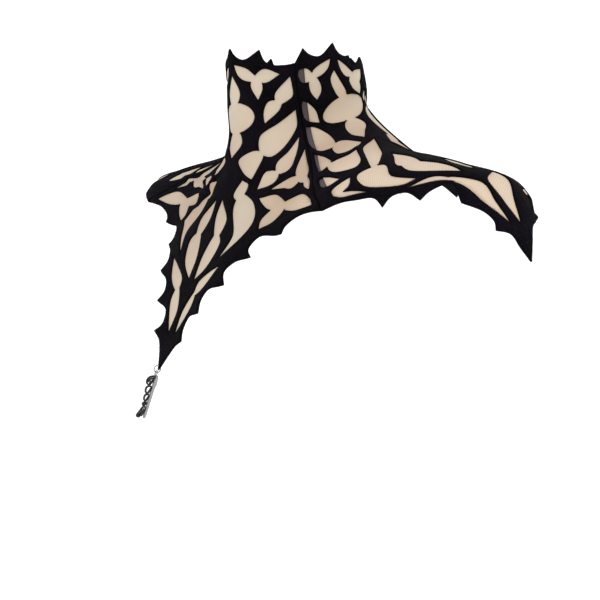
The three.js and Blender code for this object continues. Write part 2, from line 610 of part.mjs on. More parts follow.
function metalBody(name, solid, origin) {
  const mesh = solid.getMesh();
  const positions = new Float32Array(mesh.numVert * 3);
  for (let k = 0; k < mesh.numVert; k += 1) {
    const [s, w, x] = mesh.vertProperties.slice(k * mesh.numProp, k * mesh.numProp + 3);
    const point = origin.clone().addScaledVector(down, s).addScaledVector(away, w);
    point.addScaledVector(across, x);
    positions.set(point.toArray(), k * 3);
  }
  const geometry = new THREE.BufferGeometry();
  geometry.setAttribute("position", new THREE.BufferAttribute(positions, 3));
  geometry.setIndex(Array.from(mesh.triVerts));
  geometry.computeVertexNormals();
  const body = new THREE.Mesh(geometry, silver);
  body.name = name;
  return body;
}

group.add(metalBody("jump_ring", wireRing(RING_RADIUS, RING_WIRE, false), ringCentre));
group.add(metalBody("pull", pullSolid(), pullTop));

export default group;
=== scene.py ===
import math

import bpy
import numpy as np
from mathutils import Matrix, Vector
from mathutils.geometry import delaunay_2d_cdt


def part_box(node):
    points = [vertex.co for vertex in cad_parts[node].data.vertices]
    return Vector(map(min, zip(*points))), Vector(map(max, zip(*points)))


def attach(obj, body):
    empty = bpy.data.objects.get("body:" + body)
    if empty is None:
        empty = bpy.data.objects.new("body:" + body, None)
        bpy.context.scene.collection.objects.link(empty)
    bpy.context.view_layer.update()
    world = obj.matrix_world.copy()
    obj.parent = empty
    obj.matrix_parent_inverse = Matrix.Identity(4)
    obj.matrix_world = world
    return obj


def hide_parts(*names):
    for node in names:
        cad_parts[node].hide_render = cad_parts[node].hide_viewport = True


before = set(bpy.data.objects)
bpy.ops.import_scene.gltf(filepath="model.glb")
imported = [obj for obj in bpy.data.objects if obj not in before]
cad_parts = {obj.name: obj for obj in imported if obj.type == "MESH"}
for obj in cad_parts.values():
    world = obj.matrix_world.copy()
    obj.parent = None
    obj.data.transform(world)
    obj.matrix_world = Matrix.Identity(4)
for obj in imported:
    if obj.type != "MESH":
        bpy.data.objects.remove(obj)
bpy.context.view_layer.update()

# Camera, floor and light. The eye is level with the foot of the stand, 58 cm from its axis and
# round to the wearer's left, and looks slightly down. The floor is a pale dish that curves up
# into its own backdrop, under large soft lamps.
EYE_DISTANCE = 0.582
EYE_AZIMUTH = 57.25
EYE_TURN = 57.69
EYE_TILT = 8.24
LENS_MM = 47.95
SENSOR_MM = 36
camera = bpy.data.objects.new("camera", bpy.data.cameras.new("camera"))
camera.data.sensor_width = SENSOR_MM
camera.data.lens = LENS_MM
azimuth = math.radians(EYE_AZIMUTH)
camera.location = (EYE_DISTANCE * math.sin(azimuth), -EYE_DISTANCE * math.cos(azimuth), 0)
camera.rotation_euler = (math.radians(90 - EYE_TILT), 0, math.radians(EYE_TURN))
bpy.context.collection.objects.link(camera)
bpy.context.scene.camera = camera


def colour(code):
    """An sRGB hex colour, such as "dccbb6", as linear light, opaque."""
    parts = [int(code[k:k + 2], 16) / 255 for k in (0, 2, 4)]
    return (*[c / 12.92 if c <= 0.04045 else ((c + 0.055) / 1.055) ** 2.4 for c in parts], 1)


def add(tree, kind, sockets=None, **settings):
    """Adds one node, sets what it is told, and links or fills its inputs."""
    node = tree.nodes.new(kind)
    for name, value in settings.items():
        setattr(node, name, value)
    for socket, value in (sockets or {}).items():
        if isinstance(value, bpy.types.NodeSocket):
            tree.links.new(value, node.inputs[socket])
        else:
            node.inputs[socket].default_value = value
    return node


def new_material(name, look):
    """A material with one principled surface, whose plain inputs are given by name."""
    material = bpy.data.materials.new(name)
    material.use_nodes = True
    tree = material.node_tree
    tree.nodes.clear()
    shader = add(tree, "ShaderNodeBsdfPrincipled", look)
    add(tree, "ShaderNodeOutputMaterial", {"Surface": shader.outputs[0]})
    return material, tree, shader


def finished(name, points, faces, material, uvs=None):
    """A smooth mesh object at the origin, from points in metres."""
    mesh = bpy.data.meshes.new(name)
    mesh.from_pydata([tuple(p) for p in points], [], [tuple(f) for f in faces])
    mesh.materials.append(material)
    mesh.polygons.foreach_set("use_smooth", [True] * len(mesh.polygons))
    if uvs is not None:
        layer = mesh.uv_layers.new(name="cloth_mm")
        corners = np.empty(len(mesh.loops), int)
        mesh.loops.foreach_get("vertex_index", corners)
        layer.data.foreach_set("uv", np.asarray(uvs)[corners].astype(np.float32).ravel())
    mesh.validate()
    mesh.update()
    piece = bpy.data.objects.new(name, mesh)
    bpy.context.collection.objects.link(piece)
    return piece


# The dish is matt white paper. It glows a little, so that it stays an even white to its rim.
# Its profile is given as distances out and heights in metres.
FLOOR_Z = -0.62
DISH = [(0.0, 0.0), (1.2, 0.0), (1.7, 0.06), (2.1, 0.26), (2.4, 0.62), (2.55, 1.1), (2.6, 1.7)]
DISH_SIDES = 96
paper, _, _ = new_material("pale_backdrop_paper", {
    "Base Color": colour("f8f8f7"), "Emission Color": colour("ffffff"), "Emission Strength": 0.32,
    "Roughness": 0.9})
dish_points = [(r * math.cos(a), r * math.sin(a), FLOOR_Z + z)
               for a in np.linspace(0, 2 * math.pi, DISH_SIDES, endpoint=False) for r, z in DISH]
dish_faces = []
for side in range(DISH_SIDES):
    here, there = side * len(DISH), (side + 1) % DISH_SIDES * len(DISH)
    dish_faces += [(here + k, there + k, there + k + 1, here + k + 1) for k in range(len(DISH) - 1)]
dish = finished("floor", dish_points, dish_faces, paper)

world = bpy.data.worlds.new("studio")
world.use_nodes = True
world.node_tree.nodes["Background"].inputs["Color"].default_value = colour("ffffff")
world.node_tree.nodes["Background"].inputs["Strength"].default_value = 0.58
bpy.context.scene.world = world
bpy.context.scene.view_settings.view_transform = "Standard"
LAMPS = [
    dict(name="key_lamp", place=(-0.15, -1.3, 1.15), size=1.3, watts=6.2),
    dict(name="fill_lamp", place=(1.5, -0.3, 0.5), size=1.4, watts=4),
    dict(name="top_lamp", place=(0.5, 0.4, 1.5), size=1.2, watts=9.5),
    dict(name="backdrop_lamp", place=(-1.6, 0.4, 0.9), size=1.0, watts=0.5),
]
for row in LAMPS:
    lamp = bpy.data.objects.new(row["name"], bpy.data.lights.new(row["name"], "AREA"))
    lamp.data.size = row["size"]
    lamp.data.energy = row["watts"]
    lamp.location = row["place"]
    lamp.rotation_euler = (-Vector(row["place"])).to_track_quat("-Z", "Y").to_euler()
    bpy.context.collection.objects.link(lamp)

# Tulle: nude net, cut in three panels that stretch over the worn shape. Each panel is laid out
# flat in a chart of bearing and level, cut there along its scallops, and then laid on the shape.
# The shape and the scallops have the same rows as the solids.
MM = 0.001

# How far from the axis and how high the worn shape lies, in millimetres, at each bearing in
# degrees from the front and at each level down the cloth.
BEARINGS = [0, 22.5, 45, 67.5, 90, 112.5, 135, 180]
LEVELS = [
    dict(v=-100, far=[62, 57, 49, 43, 40, 38, 37.5, 38], high=[96, 96, 96, 96, 96, 96, 96, 96]),
    dict(v=-50, far=[58.5, 56, 51, 46.5, 44.5, 43, 42.5, 42.5], high=[55, 56, 58, 62, 66, 68, 70, 71]),
    dict(v=0, far=[60.5, 59, 57, 55, 53.5, 51.5, 50, 48], high=[18, 19, 24, 31, 39, 44, 46, 48]),
    dict(v=30, far=[75, 77, 80, 88, 92, 86, 77, 70], high=[-22, -18, -2, 18, 24, 21, 21, 23]),
    dict(v=60, far=[95, 99, 103, 132, 150, 130, 104, 94], high=[-70, -56, -29, 8, 13, 4, -8, -18]),
    dict(v=75, far=[107, 111, 114, 156, 189, 152, 114, 103], high=[-98, -77, -46, 0, 3, -10, -29, -45]),
    dict(v=90, far=[120, 125, 128, 172, 207, 168, 124, 112],
         high=[-128, -101, -65, -21, -23, -36, -56, -77]),
    dict(v=115, far=[134, 140, 146, 184, 209, 180, 138, 122],
         high=[-172, -145, -105, -66, -72, -84, -102, -122]),
]

# The two faces of the tulle, as heights outwards from that shape, and the steps of its mesh in
# its middle and along its edges, in millimetres. The inset is in degrees and levels of the chart.
TULLE_IN = -1.25
TULLE_OUT = -0.8
TULLE_INSET = 1.3
GRID_MM = 3.6
EDGE_MM = 1.1
BAY_SAMPLES = 16
BLUNT_SAMPLES = 12


def through(knots, rows, x):
    """A smooth curve through uneven knots, for one column of rows to each x."""
    knots = np.asarray(knots, float)
    steps = np.diff(knots)
    slopes = np.diff(rows, axis=0) / steps[:, None]
    tangents = np.empty_like(rows)
    tangents[0], tangents[-1] = slopes[0], slopes[-1]
    both = (steps[:-1] + steps[1:])[:, None]
    tangents[1:-1] = (slopes[:-1] * steps[1:, None] + slopes[1:] * steps[:-1, None]) / both
    k = np.clip(np.searchsorted(knots, x, side="right") - 1, 0, len(knots) - 2)
    column = np.arange(len(x))
    h = steps[k]
    t = (x - knots[k]) / h
    return ((2 * t**3 - 3 * t**2 + 1) * rows[k, column] + (t**3 - 2 * t**2 + t) * h * tangents[k, column]
            + (3 * t**2 - 2 * t**3) * rows[k + 1, column] + (t**3 - t**2) * h * tangents[k + 1, column])


def around(values, bearing):
    """A row of values read at any bearing. It is mirrored about the front and the back."""
    row = np.array([values[2], values[1], *values, values[6]], float)
    rows = np.repeat(row[:, None], len(bearing), axis=1)
    return through([-45, -22.5, *BEARINGS, 225], rows, bearing)


def bare_shape(u, v):
    """Points of the worn shape in millimetres, without its creases."""
    u, v = np.asarray(u, float), np.asarray(v, float)
    turned = np.abs(u)
    side = np.where(u < 0, -1.0, 1.0) * np.where(turned > 180, -1.0, 1.0)
    bearing = np.where(turned > 180, 360 - turned, turned)
    levels = [row["v"] for row in LEVELS]
    far = through(levels, np.array([around(row["far"], bearing) for row in LEVELS]), v)
    high = through(levels, np.array([around(row["high"], bearing) for row in LEVELS]), v)
    angle = np.radians(bearing)
    return np.stack([side * far * np.sin(angle), -far * np.cos(angle), high], axis=-1)


def outward(u, v, step=0.5):
    """The direction straight out of the worn shape."""
    across = bare_shape(u + step, v) - bare_shape(u - step, v)
    down = bare_shape(u, v + step) - bare_shape(u, v - step)
    normal = np.cross(down, across)
    return normal / np.linalg.norm(normal, axis=-1, keepdims=True)


def degree_mm(u, v):
    """The length of one degree of bearing on the cloth, in millimetres."""
    return math.radians(1) * np.linalg.norm(bare_shape(u, v)[:, :2], axis=1)


# Soft creases of the stretched cloth. Each runs from one chart point to another, with its
# height and half width in millimetres of cloth; a negative height is a valley.
CREASES = [
    dict(start=(-6, -6), end=(-44, 40), high=2.6, half=3.2),
    dict(start=(-12, 10), end=(-48, 46), high=-2.4, half=2.8),
    dict(start=(-18, 2), end=(-58, 34), high=2.4, half=2.8),
    dict(start=(-28, 4), end=(-62, 42), high=-2.2, half=2.6),
    dict(start=(-36, 14), end=(-66, 54), high=2.2, half=3.0),
    dict(start=(-16, 24), end=(-40, 52), high=1.4, half=2.4),
    dict(start=(6, 2), end=(12, 26), high=-0.9, half=3.0),
    dict(start=(20, -6), end=(24, 22), high=0.9, half=3.2),
    dict(start=(30, -10), end=(38, 20), high=-0.8, half=3.0),
    dict(start=(57, -20), end=(62, 24), high=0.8, half=3.0),
    dict(start=(66, -8), end=(72, 26), high=-0.9, half=3.4),
    dict(start=(78, 10), end=(76, 44), high=0.9, half=4.0),
    dict(start=(100, 16), end=(104, 52), high=-0.9, half=4.0),
]


def crease_height(u, v):
    """How far the creases lift the cloth, in millimetres. Each fades out towards its ends."""
    scale = degree_mm(u, v)
    total = np.zeros(len(u))
    for row in CREASES:
        (u0, v0), (u1, v1) = row["start"], row["end"]
        length = math.hypot(u1 - u0, v1 - v0)
        t = ((u - u0) * (u1 - u0) + (v - v0) * (v1 - v0)) / length**2
        off = ((u - u0) * (v1 - v0) - (v - v0) * (u1 - u0)) / length * scale
        fade = np.clip(t, 0, 1) * np.clip(1 - t, 0, 1) * 4
        total += row["high"] * fade * np.exp(-(off / row["half"]) ** 2)
    return total


def worn(u, v, height):
    """Points on the worn cloth, in metres, at a height outwards from it in millimetres."""
    u, v = np.asarray(u, float), np.asarray(v, float)
    lift = np.asarray(height, float) + crease_height(u, v)
    return (bare_shape(u, v) + outward(u, v) * lift[:, None]) * MM


def evenly(line, step):
    """Points of a chart line at equal steps of cloth, its two ends kept."""
    line = np.asarray(line, float)
    space = bare_shape(line[:, 0], line[:, 1])
    run = np.concatenate([[0], np.cumsum(np.linalg.norm(np.diff(space, axis=0), axis=1))])
    count = max(1, round(run[-1] / step))
    at = np.linspace(0, run[-1], count + 1)
    return np.stack([np.interp(at, run, line[:, 0]), np.interp(at, run, line[:, 1])], axis=1)


# The scalloped edges in chart points. Each row is a spike, and two points of the bay beyond it.
FRONT_RIM = [
    dict(spike=(0, -91.5), a=(5, -85), b=(13, -81.5)),
    dict(spike=(24, -88), a=(27.5, -79), b=(33, -75.5)),
]
FRONT_RIM_END = (42, -75)
FRONT_HEM = [
    dict(spike=(0, 87), a=(2.8, 82.9), b=(6.4, 79.8)),
    dict(spike=(11.3, 79.8), a=(8.5, 74.7), b=(9.9, 71)),
    dict(spike=(17.6, 73.3), a=(16, 67.1), b=(18.6, 64.6)),
    dict(spike=(28, 68.3), a=(25.9, 60.4), b=(29.8, 59.3)),
    dict(spike=(37.5, 63.8), a=(35.5, 57), b=(39, 55.2)),
    dict(spike=(49.3, 66.6), a=(50.4, 64.3), b=(54, 66.3)),
]
SIDE_RIM = [
    dict(spike=(54.5, -88.5), a=(60, -83), b=(68.5, -81)),
    dict(spike=(82.5, -94.5), a=(87.5, -85.5), b=(94, -81.3)),
    dict(spike=(103, -82.5), a=(105, -75), b=(111, -72.5)),
    dict(spike=(128, -83), a=(133, -77), b=(143, -75.5)),
    dict(spike=(156, -88), a=(161, -83), b=(170, -82)),
]
SIDE_HEM = [
    dict(spike=(64, 78.8), a=(66.5, 80.5), b=(69, 81.5)),
    dict(spike=(70.2, 85.3), a=(72, 82), b=(74, 81.3)),
    dict(spike=(75.6, 84), a=(77.5, 80.8), b=(80.5, 78.3)),
    dict(spike=(81, 84.2), a=(83.8, 86), b=(85, 88.3)),
    dict(spike=(84.9, 91), a=(87, 91.3), b=(88.5, 95)),
    dict(spike=(90.5, 98.5), a=(91, 93), b=(92.2, 88.5)),
    dict(spike=(95.3, 85.7), a=(92.3, 83), b=(93.5, 78.3)),
    dict(spike=(99, 76.3), a=(100, 79.5), b=(102, 80.5)),
    dict(spike=(106, 85), a=(108, 81.5), b=(110, 81.3)),
    dict(spike=(112, 84), a=(114, 78), b=(118, 72)),
    dict(spike=(123, 70.5), a=(126, 63.5), b=(129, 59.5)),
    dict(spike=(132, 61.5), a=(136, 53), b=(140, 49.5)),
    dict(spike=(144, 53), a=(148.5, 47.5), b=(153.5, 47)),
    dict(spike=(158, 52), a=(162.5, 47), b=(169, 47)),
]
BACK_RIM_END = (180, -91)
BACK_HEM_END = (180, 53)

# The closing edge of the front panel and the far side of the lap under it, as bearings at levels.
CLOSING = [
    dict(v=-100, edge=47, lap=54.3),
    dict(v=-66, edge=49.2, lap=56),
    dict(v=-37, edge=52.3, lap=58.3),
    dict(v=-9, edge=55.7, lap=61),
    dict(v=12, edge=58.5, lap=62.3),
    dict(v=34, edge=59.3, lap=61.8),
    dict(v=60, edge=59.3, lap=61.8),
    dict(v=90, edge=61.5, lap=64),
]
SEAM_TOP = -76
SEAM_FOOT = 77
SEAM_SAMPLES = 60


def closing_line(column, offset=0.0, top=SEAM_TOP, foot=SEAM_FOOT):
    """One side of the closing from top to foot, moved round by an offset in degrees."""
    levels = np.linspace(top, foot, SEAM_SAMPLES)
    knots = [row["v"] for row in CLOSING]
    rows = np.repeat(np.array([[row[column]] for row in CLOSING], float), len(levels), axis=1)
    return np.stack([through(knots, rows, levels) + offset, levels], axis=1)


def scallop(points, samples=BAY_SAMPLES):
    """A smooth line through points, such as a bay from one spike to the next."""
    points = np.asarray(points, float)
    gaps = np.sqrt(np.linalg.norm(np.diff(points, axis=0), axis=1))
    knots = np.concatenate([[0], np.cumsum(gaps)])
    at = np.linspace(0, knots[-1], samples)
    columns = [through(knots, np.repeat(points[:, k:k + 1], samples, axis=1), at) for k in (0, 1)]
    return np.stack(columns, axis=1)


def edge_run(rows, end, spiked=True, start=()):
    """The scalloped edge through all rows to its end, as separate smooth stretches. Without its
    spikes it is one stretch, from its start through the bottoms of the bays."""
    stretches = []
    if spiked:
        tips = [row["spike"] for row in rows[1:]] + [end]
        for row, tip in zip(rows, tips):
            stretches.append(scallop([row["spike"], row["a"], row["b"], tip]))
    else:
        blunt = [*start, *[p for row in rows for p in (row["a"], row["b"])]]
        stretches.append(scallop(blunt, BLUNT_SAMPLES * len(rows)))
    return stretches


def closed_outline(stretches):
    """Joins stretches into one loop of chart points at even steps, corners kept."""
    loop = []
    for stretch in stretches:
        loop.extend(evenly(stretch, EDGE_MM)[:-1].tolist())
    return np.array(loop)


TOUCHING = 1e-6
TULLE_CROWN = 1
TULLE_DROP = 2


def joined(stretches):
    """The outline that stretches make, without those that have no length."""
    return closed_outline([line for line in stretches if math.dist(line[0], line[-1]) > TOUCHING])


def flipped(line):
    """A line on the other side of the front, run the other way."""
    return np.asarray(line, float)[::-1] * (-1, 1)


def front_outline(spiked=True):
    """The front panel. Without spikes it peaks a little on its middle line, above and below."""
    rim = edge_run(FRONT_RIM, FRONT_RIM_END, spiked)
    side = closing_line("edge")
    hem = [line[::-1] for line in edge_run(FRONT_HEM, tuple(side[-1]), spiked)][::-1]
    half = [*rim, [rim[-1][-1], side[0]], side, [side[-1], hem[0][0]], *hem]
    if not spiked:
        top, foot = rim[0][0], hem[-1][-1]
        half = [[(0, top[1] - TULLE_CROWN), top], *half, [foot, (0, foot[1] + TULLE_DROP)]]
    return joined([*half, *[flipped(line) for line in half[::-1]]])


def side_outline(spiked=True):
    """The wearer's left panel, from the closing edge to the middle of the back."""
    front = closing_line("edge")[::-1]
    rim = edge_run(SIDE_RIM, BACK_RIM_END, spiked)
    hem = edge_run(SIDE_HEM, BACK_HEM_END, spiked, [SIDE_HEM[0]["spike"]])
    hem = [line[::-1] for line in hem][::-1]
    rim_end, hem_end = rim[-1][-1], hem[0][0]
    back = [(180, rim_end[1]), (180, hem_end[1])]
    return joined([*rim, [rim_end, back[0]], back, [back[1], hem_end], *hem,
                   [hem[-1][-1], front[0]], front, [front[-1], rim[0][0]]])


def area_of(loop):
    """The area of a closed line, negative where it runs the other way round."""
    x, y = loop[:, 0], loop[:, 1]
    return 0.5 * np.sum(x * np.roll(y, -1) - np.roll(x, -1) * y)


# Distances are worked out for so many points at a time, and a length below this is none.
BLOCK = 400
NO_LENGTH = 1e-12


def distance_to(points, loop):
    """Shortest distance from each point to a closed line."""
    best = np.empty(len(points))
    along = np.roll(loop, -1, axis=0) - loop
    squared = np.maximum((along**2).sum(axis=1), NO_LENGTH)
    for block in range(0, len(points), BLOCK):
        away = points[block:block + BLOCK, None] - loop[None]
        t = np.clip((away * along[None]).sum(axis=2) / squared, 0, 1)
        gap = np.linalg.norm(away - along[None] * t[..., None], axis=2).min(axis=1)
        best[block:block + BLOCK] = gap
    return best


def inside(points, loop):
    """Whether each point lies inside a closed line."""
    x, y = points[:, 0][:, None], points[:, 1][:, None]
    x0, y0 = loop[:, 0][None], loop[:, 1][None]
    x1, y1 = np.roll(loop[:, 0], -1)[None], np.roll(loop[:, 1], -1)[None]
    rise = np.where(y1 == y0, NO_LENGTH, y1 - y0)
    crossed = ((y0 > y) != (y1 > y)) & (x < x0 + (y - y0) / rise * (x1 - x0))
    return crossed.sum(axis=1) % 2 == 1


BLUNTEST = 0.6
CLEAR_SHARE = 0.93


def inset(loop, distance):
    """Moves an outline inwards in the chart and drops what would fold over. At a sharp corner,
    where the two normals nearly cancel, a point moves by less."""
    ahead = np.roll(loop, -1, axis=0) - loop
    ahead /= np.linalg.norm(ahead, axis=1, keepdims=True)
    normal = np.stack([-ahead[:, 1], ahead[:, 0]], axis=1) * np.sign(area_of(loop))
    mean = normal + np.roll(normal, 1, axis=0)
    mean /= np.maximum(np.linalg.norm(mean, axis=1, keepdims=True), BLUNTEST)
    moved = loop + mean * distance
    return moved[distance_to(moved, loop) > CLEAR_SHARE * distance]


# How a panel is filled with points: the fine step in degrees at which a row is measured, where
# the first row and each row start, the share of a step between rows and their least distance in
# levels, and the space that is left free at the edge.
FINE_STEP = 0.5
FIRST_ROW = 1
ROW_START = 0.7
ROW_SHARE = 0.87
LEAST_DROP = 0.8
EDGE_SPACE = 0.55


def field_points(loop, step):
    """Chart points a step of cloth apart that fill an outline."""
    low, high = loop.min(axis=0), loop.max(axis=0)
    middle = (low[0] + high[0]) / 2
    points = []
    v, odd = low[1] + FIRST_ROW, False
    while v < high[1]:
        line = np.arange(low[0] + ROW_START, high[0], FINE_STEP)
        run = np.cumsum(FINE_STEP * degree_mm(line, np.full(len(line), v)))
        stops = np.arange(step * (0.5 if odd else 1), run[-1], step)
        points.extend((u, v) for u in np.interp(stops, run, line))
        drop = np.linalg.norm(bare_shape([middle], [v + 1]) - bare_shape([middle], [v]))
        v += max(LEAST_DROP, step * ROW_SHARE / max(drop, FINE_STEP * degree_mm([middle], [v])[0]))
        odd = not odd
    points = np.array(points)
    return points[inside(points, loop) & (distance_to(points, loop) > EDGE_SPACE)]


SAME_POINT = 1e-5
NO_AREA = 1e-9


def cut_chart(loop, openings, extra):
    """Cuts the openings out of an outline and fills the rest with triangles."""
    points = [*loop.tolist()]
    faces = [list(range(len(loop)))]
    for opening in openings:
        faces.append(list(range(len(points), len(points) + len(opening))))
        points.extend(opening.tolist())
    points.extend(extra.tolist())
    corners = [Vector(p) for p in points]
    made, _, triangles, _, _, sources = delaunay_2d_cdt(corners, [], faces, 0, SAME_POINT)
    kept = [list(t) for t, source in zip(triangles, sources) if 0 in source and len(source) == 1]
    chart = np.array([tuple(p) for p in made])
    used = np.unique(np.array(kept))
    rank = {k: order for order, k in enumerate(used)}
    triangles = np.array([[rank[k] for k in t] for t in kept])
    chart = chart[used]
    a, b, c = (chart[triangles[:, k]] for k in range(3))
    turned = (b[:, 0] - a[:, 0]) * (c[:, 1] - a[:, 1]) - (b[:, 1] - a[:, 1]) * (c[:, 0] - a[:, 0])
    triangles[turned < 0] = triangles[turned < 0][:, ::-1]
    return chart, triangles[np.abs(turned) > NO_AREA]


def rim_edges(triangles):
    """Edges that only one triangle uses, in that triangle's direction."""
    pairs = np.concatenate([triangles[:, [0, 1]], triangles[:, [1, 2]], triangles[:, [2, 0]]])
    there = {tuple(p) for p in pairs.tolist()}
    return [(a, b) for a, b in there if (b, a) not in there]


def cloth_lengths(chart):
    """How far each chart point lies across and down the cloth, in millimetres."""
    u, v = chart[:, 0], chart[:, 1]
    us = np.arange(u.min() - 1, u.max() + 2, 1.0)
    vs = np.arange(v.min() - 1, v.max() + 2, 1.0)
    grid_u, grid_v = np.meshgrid(us, vs, indexing="ij")
    space = bare_shape(grid_u.ravel(), grid_v.ravel()).reshape(len(us), len(vs), 3)
    across = np.linalg.norm(np.diff(space, axis=0), axis=2)
    down = np.linalg.norm(np.diff(space, axis=1), axis=2)
    across = np.concatenate([np.zeros((1, len(vs))), np.cumsum(across, axis=0)])
    across -= across[len(us) // 2][None]
    down = np.concatenate([np.zeros((len(us), 1)), np.cumsum(down, axis=1)], axis=1)
    down -= down[:, len(vs) // 2][:, None]
    i = np.clip((u - us[0]).astype(int), 0, len(us) - 2)
    j = np.clip((v - vs[0]).astype(int), 0, len(vs) - 2)
    a, b = u - us[i], v - vs[j]
    blend = [(1 - a) * (1 - b), a * (1 - b), (1 - a) * b, a * b]
    corners = [(i, j), (i + 1, j), (i, j + 1), (i + 1, j + 1)]
    lengths = [sum(w * table[p] for w, p in zip(blend, corners)) for table in (across, down)]
    return np.stack(lengths, axis=1)


def laid(name, chart, triangles, outer, inner, material, side=1):
    """Lays a cut chart on the worn shape as a closed sheet between two heights. Side -1 lays it
    mirrored on the wearer's right. Its UV map is in millimetres of cloth."""
    u, v = chart[:, 0] * side, chart[:, 1]
    upper = worn(u, v, np.broadcast_to(outer, len(u)))
    lower = worn(u, v, np.broadcast_to(inner, len(u)))
    count = len(u)
    faces = [(a, c, b) for a, b, c in triangles.tolist()]
    faces += [(a + count, b + count, c + count) for a, b, c in triangles.tolist()]
    faces += [(a, b, b + count, a + count) for a, b in rim_edges(triangles)]
    if side < 0:
        faces = [face[::-1] for face in faces]
    lengths = cloth_lengths(chart) * (side, 1)
    points = np.concatenate([upper, lower])
    return finished(name, points, faces, material, np.concatenate([lengths, lengths]))


# Nude tulle is warp-knitted nylon: a soft matt net whose round holes are 0.9 mm apart, drawn a
# third coarser here so that they show, with a faint bloom of fibre over its skin tone. Seen from
# afar it is an even skin colour whose tone drifts a little, with painted light and shade on top.
NET_PITCH_MM = 1.2
TONE_PATCHES_PER_M = 22
NET_PACE = 2 * math.pi / (NET_PITCH_MM * math.sin(math.radians(60)))
tulle, tree, shader = new_material("nude_nylon_tulle", {
    "Roughness": 0.82, "Sheen Weight": 0.1, "Sheen Roughness": 0.5})
cloth = add(tree, "ShaderNodeUVMap", uv_map="cloth_mm")

# Three waves cross at 60 degrees, and the holes lie where all three are high.
waves = []
for degrees in (0, 60, 120):
    turn = math.radians(degrees)
    way = (NET_PACE * math.cos(turn), NET_PACE * math.sin(turn), 0)
    line = add(tree, "ShaderNodeVectorMath", {0: cloth.outputs[0], 1: way}, operation="DOT_PRODUCT")
    waves.append(add(tree, "ShaderNodeMath", {0: line.outputs["Value"]}, operation="COSINE").outputs[0])
pair = add(tree, "ShaderNodeMath", {0: waves[0], 1: waves[1]}, operation="ADD")
net = add(tree, "ShaderNodeMath", {0: pair.outputs[0], 1: waves[2]}, operation="ADD")
hole = add(tree, "ShaderNodeMapRange", {"Value": net.outputs[0], "From Min": 0.4, "From Max": 2.2})
place = add(tree, "ShaderNodeTexCoord")
drift = add(tree, "ShaderNodeTexNoise",
            {"Vector": place.outputs["Object"], "Scale": TONE_PATCHES_PER_M, "Detail": 3})
tone = add(tree, "ShaderNodeValToRGB", {0: drift.outputs["Fac"]})
tone.color_ramp.elements[0].position = 0.3
tone.color_ramp.elements[0].color = colour("c4bcaa")
tone.color_ramp.elements[1].position = 0.7
tone.color_ramp.elements[1].color = colour("c8b59f")

# Painted light and shade on that tone, placed in metres: painted shade past the closing, a painted
# light patch out on the shoulder, and the deepest painted shade in the folds at the right of the
# front, which are taken by their distance from a point.
FOLDS_AT = (-0.035, -0.06, -0.012)
across = add(tree, "ShaderNodeSeparateXYZ", {"Vector": place.outputs["Object"]}).outputs["X"]
gathered = add(tree, "ShaderNodeVectorMath", {0: place.outputs["Object"], 1: FOLDS_AT},
               operation="DISTANCE")
PAINTED_LIGHT_AND_SHADE = [
    dict(by=across, near=0.03, far=0.062, shares=(0, 0.75), tone="b3957a"),
    dict(by=across, near=0.075, far=0.115, shares=(0, 0.9), tone="d3bea7"),
    dict(by=gathered.outputs["Value"], near=0.02, far=0.08, shares=(0.75, 0), tone="ab8f79"),
]
tone_and_painted_light = tone.outputs[0]
# Each row mixes one painted shade or painted light into the drifting tone.
for row in PAINTED_LIGHT_AND_SHADE:
    share = add(tree, "ShaderNodeMapRange",
                {"Value": row["by"], "From Min": row["near"], "From Max": row["far"],
                 "To Min": row["shares"][0], "To Max": row["shares"][1]})
    painted_mix = add(tree, "ShaderNodeMix",
                  {"Factor": share.outputs[0], "A": tone_and_painted_light, "B": colour(row["tone"])}, data_type="RGBA")
    tone_and_painted_light = painted_mix.outputs["Result"]
shade = add(tree, "ShaderNodeMix", {"Factor": hole.outputs[0], "A": tone_and_painted_light, "B": colour("bbab98")},
            data_type="RGBA")
see = add(tree, "ShaderNodeMapRange", {"Value": hole.outputs[0], "To Min": 1.0, "To Max": 0.88})
bump = add(tree, "ShaderNodeBump", {"Strength": 0.07, "Distance": 0.0002, "Height": net.outputs[0]},
           invert=True)
tree.links.new(shade.outputs["Result"], shader.inputs["Base Color"])
tree.links.new(see.outputs[0], shader.inputs["Alpha"])
tree.links.new(bump.outputs[0], shader.inputs["Normal"])


def make_tulle(name, loop, side=1):
    """One panel of tulle, filled with triangles and laid on the worn shape."""
    chart, triangles = cut_chart(loop, [], field_points(loop, GRID_MM))
    piece = laid(name + "_net", chart, triangles, TULLE_OUT, TULLE_IN, tulle, side)
    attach(piece, "root")
    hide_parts(name)
    return piece


SEAM_GAP = 0.2
TULLE_SEAM_TOP = SEAM_TOP + 4
TULLE_SEAM_FOOT = SEAM_FOOT + 2


def side_tulle_loop(column):
    """The outline of a side panel's tulle, cut off just beyond one of the closing lines."""
    loop = inset(side_outline(spiked=False), TULLE_INSET)
    line = closing_line(column, SEAM_GAP, TULLE_SEAM_TOP, TULLE_SEAM_FOOT)
    limit = np.interp(loop[:, 1], line[:, 1], line[:, 0])
    loop[:, 0] = np.maximum(loop[:, 0], limit)
    return loop


tulle_front = make_tulle("tulle_front", inset(front_outline(spiked=False), TULLE_INSET))
tulle_left = make_tulle("tulle_left", side_tulle_loop("lap"))
tulle_right = make_tulle("tulle_right", side_tulle_loop("edge"), side=-1)

# Under-lap: a strip of smoky mesh sewn to the left panel, which lies under the closing edge and
# shows beside it from rim to hem. It is cut along the two closing lines.

# How far it reaches under the edge, how much it stops short of the hem and how much more on its
# hidden side, then its two faces as heights.
LAP_UNDER_DEGREES = 1.5
LAP_SHORT = 0.8
LAP_SLANT = 4
LAP_OUT = TULLE_IN - 0.05
LAP_IN = TULLE_IN - 0.4
LAP_GRID_MM = 2.0

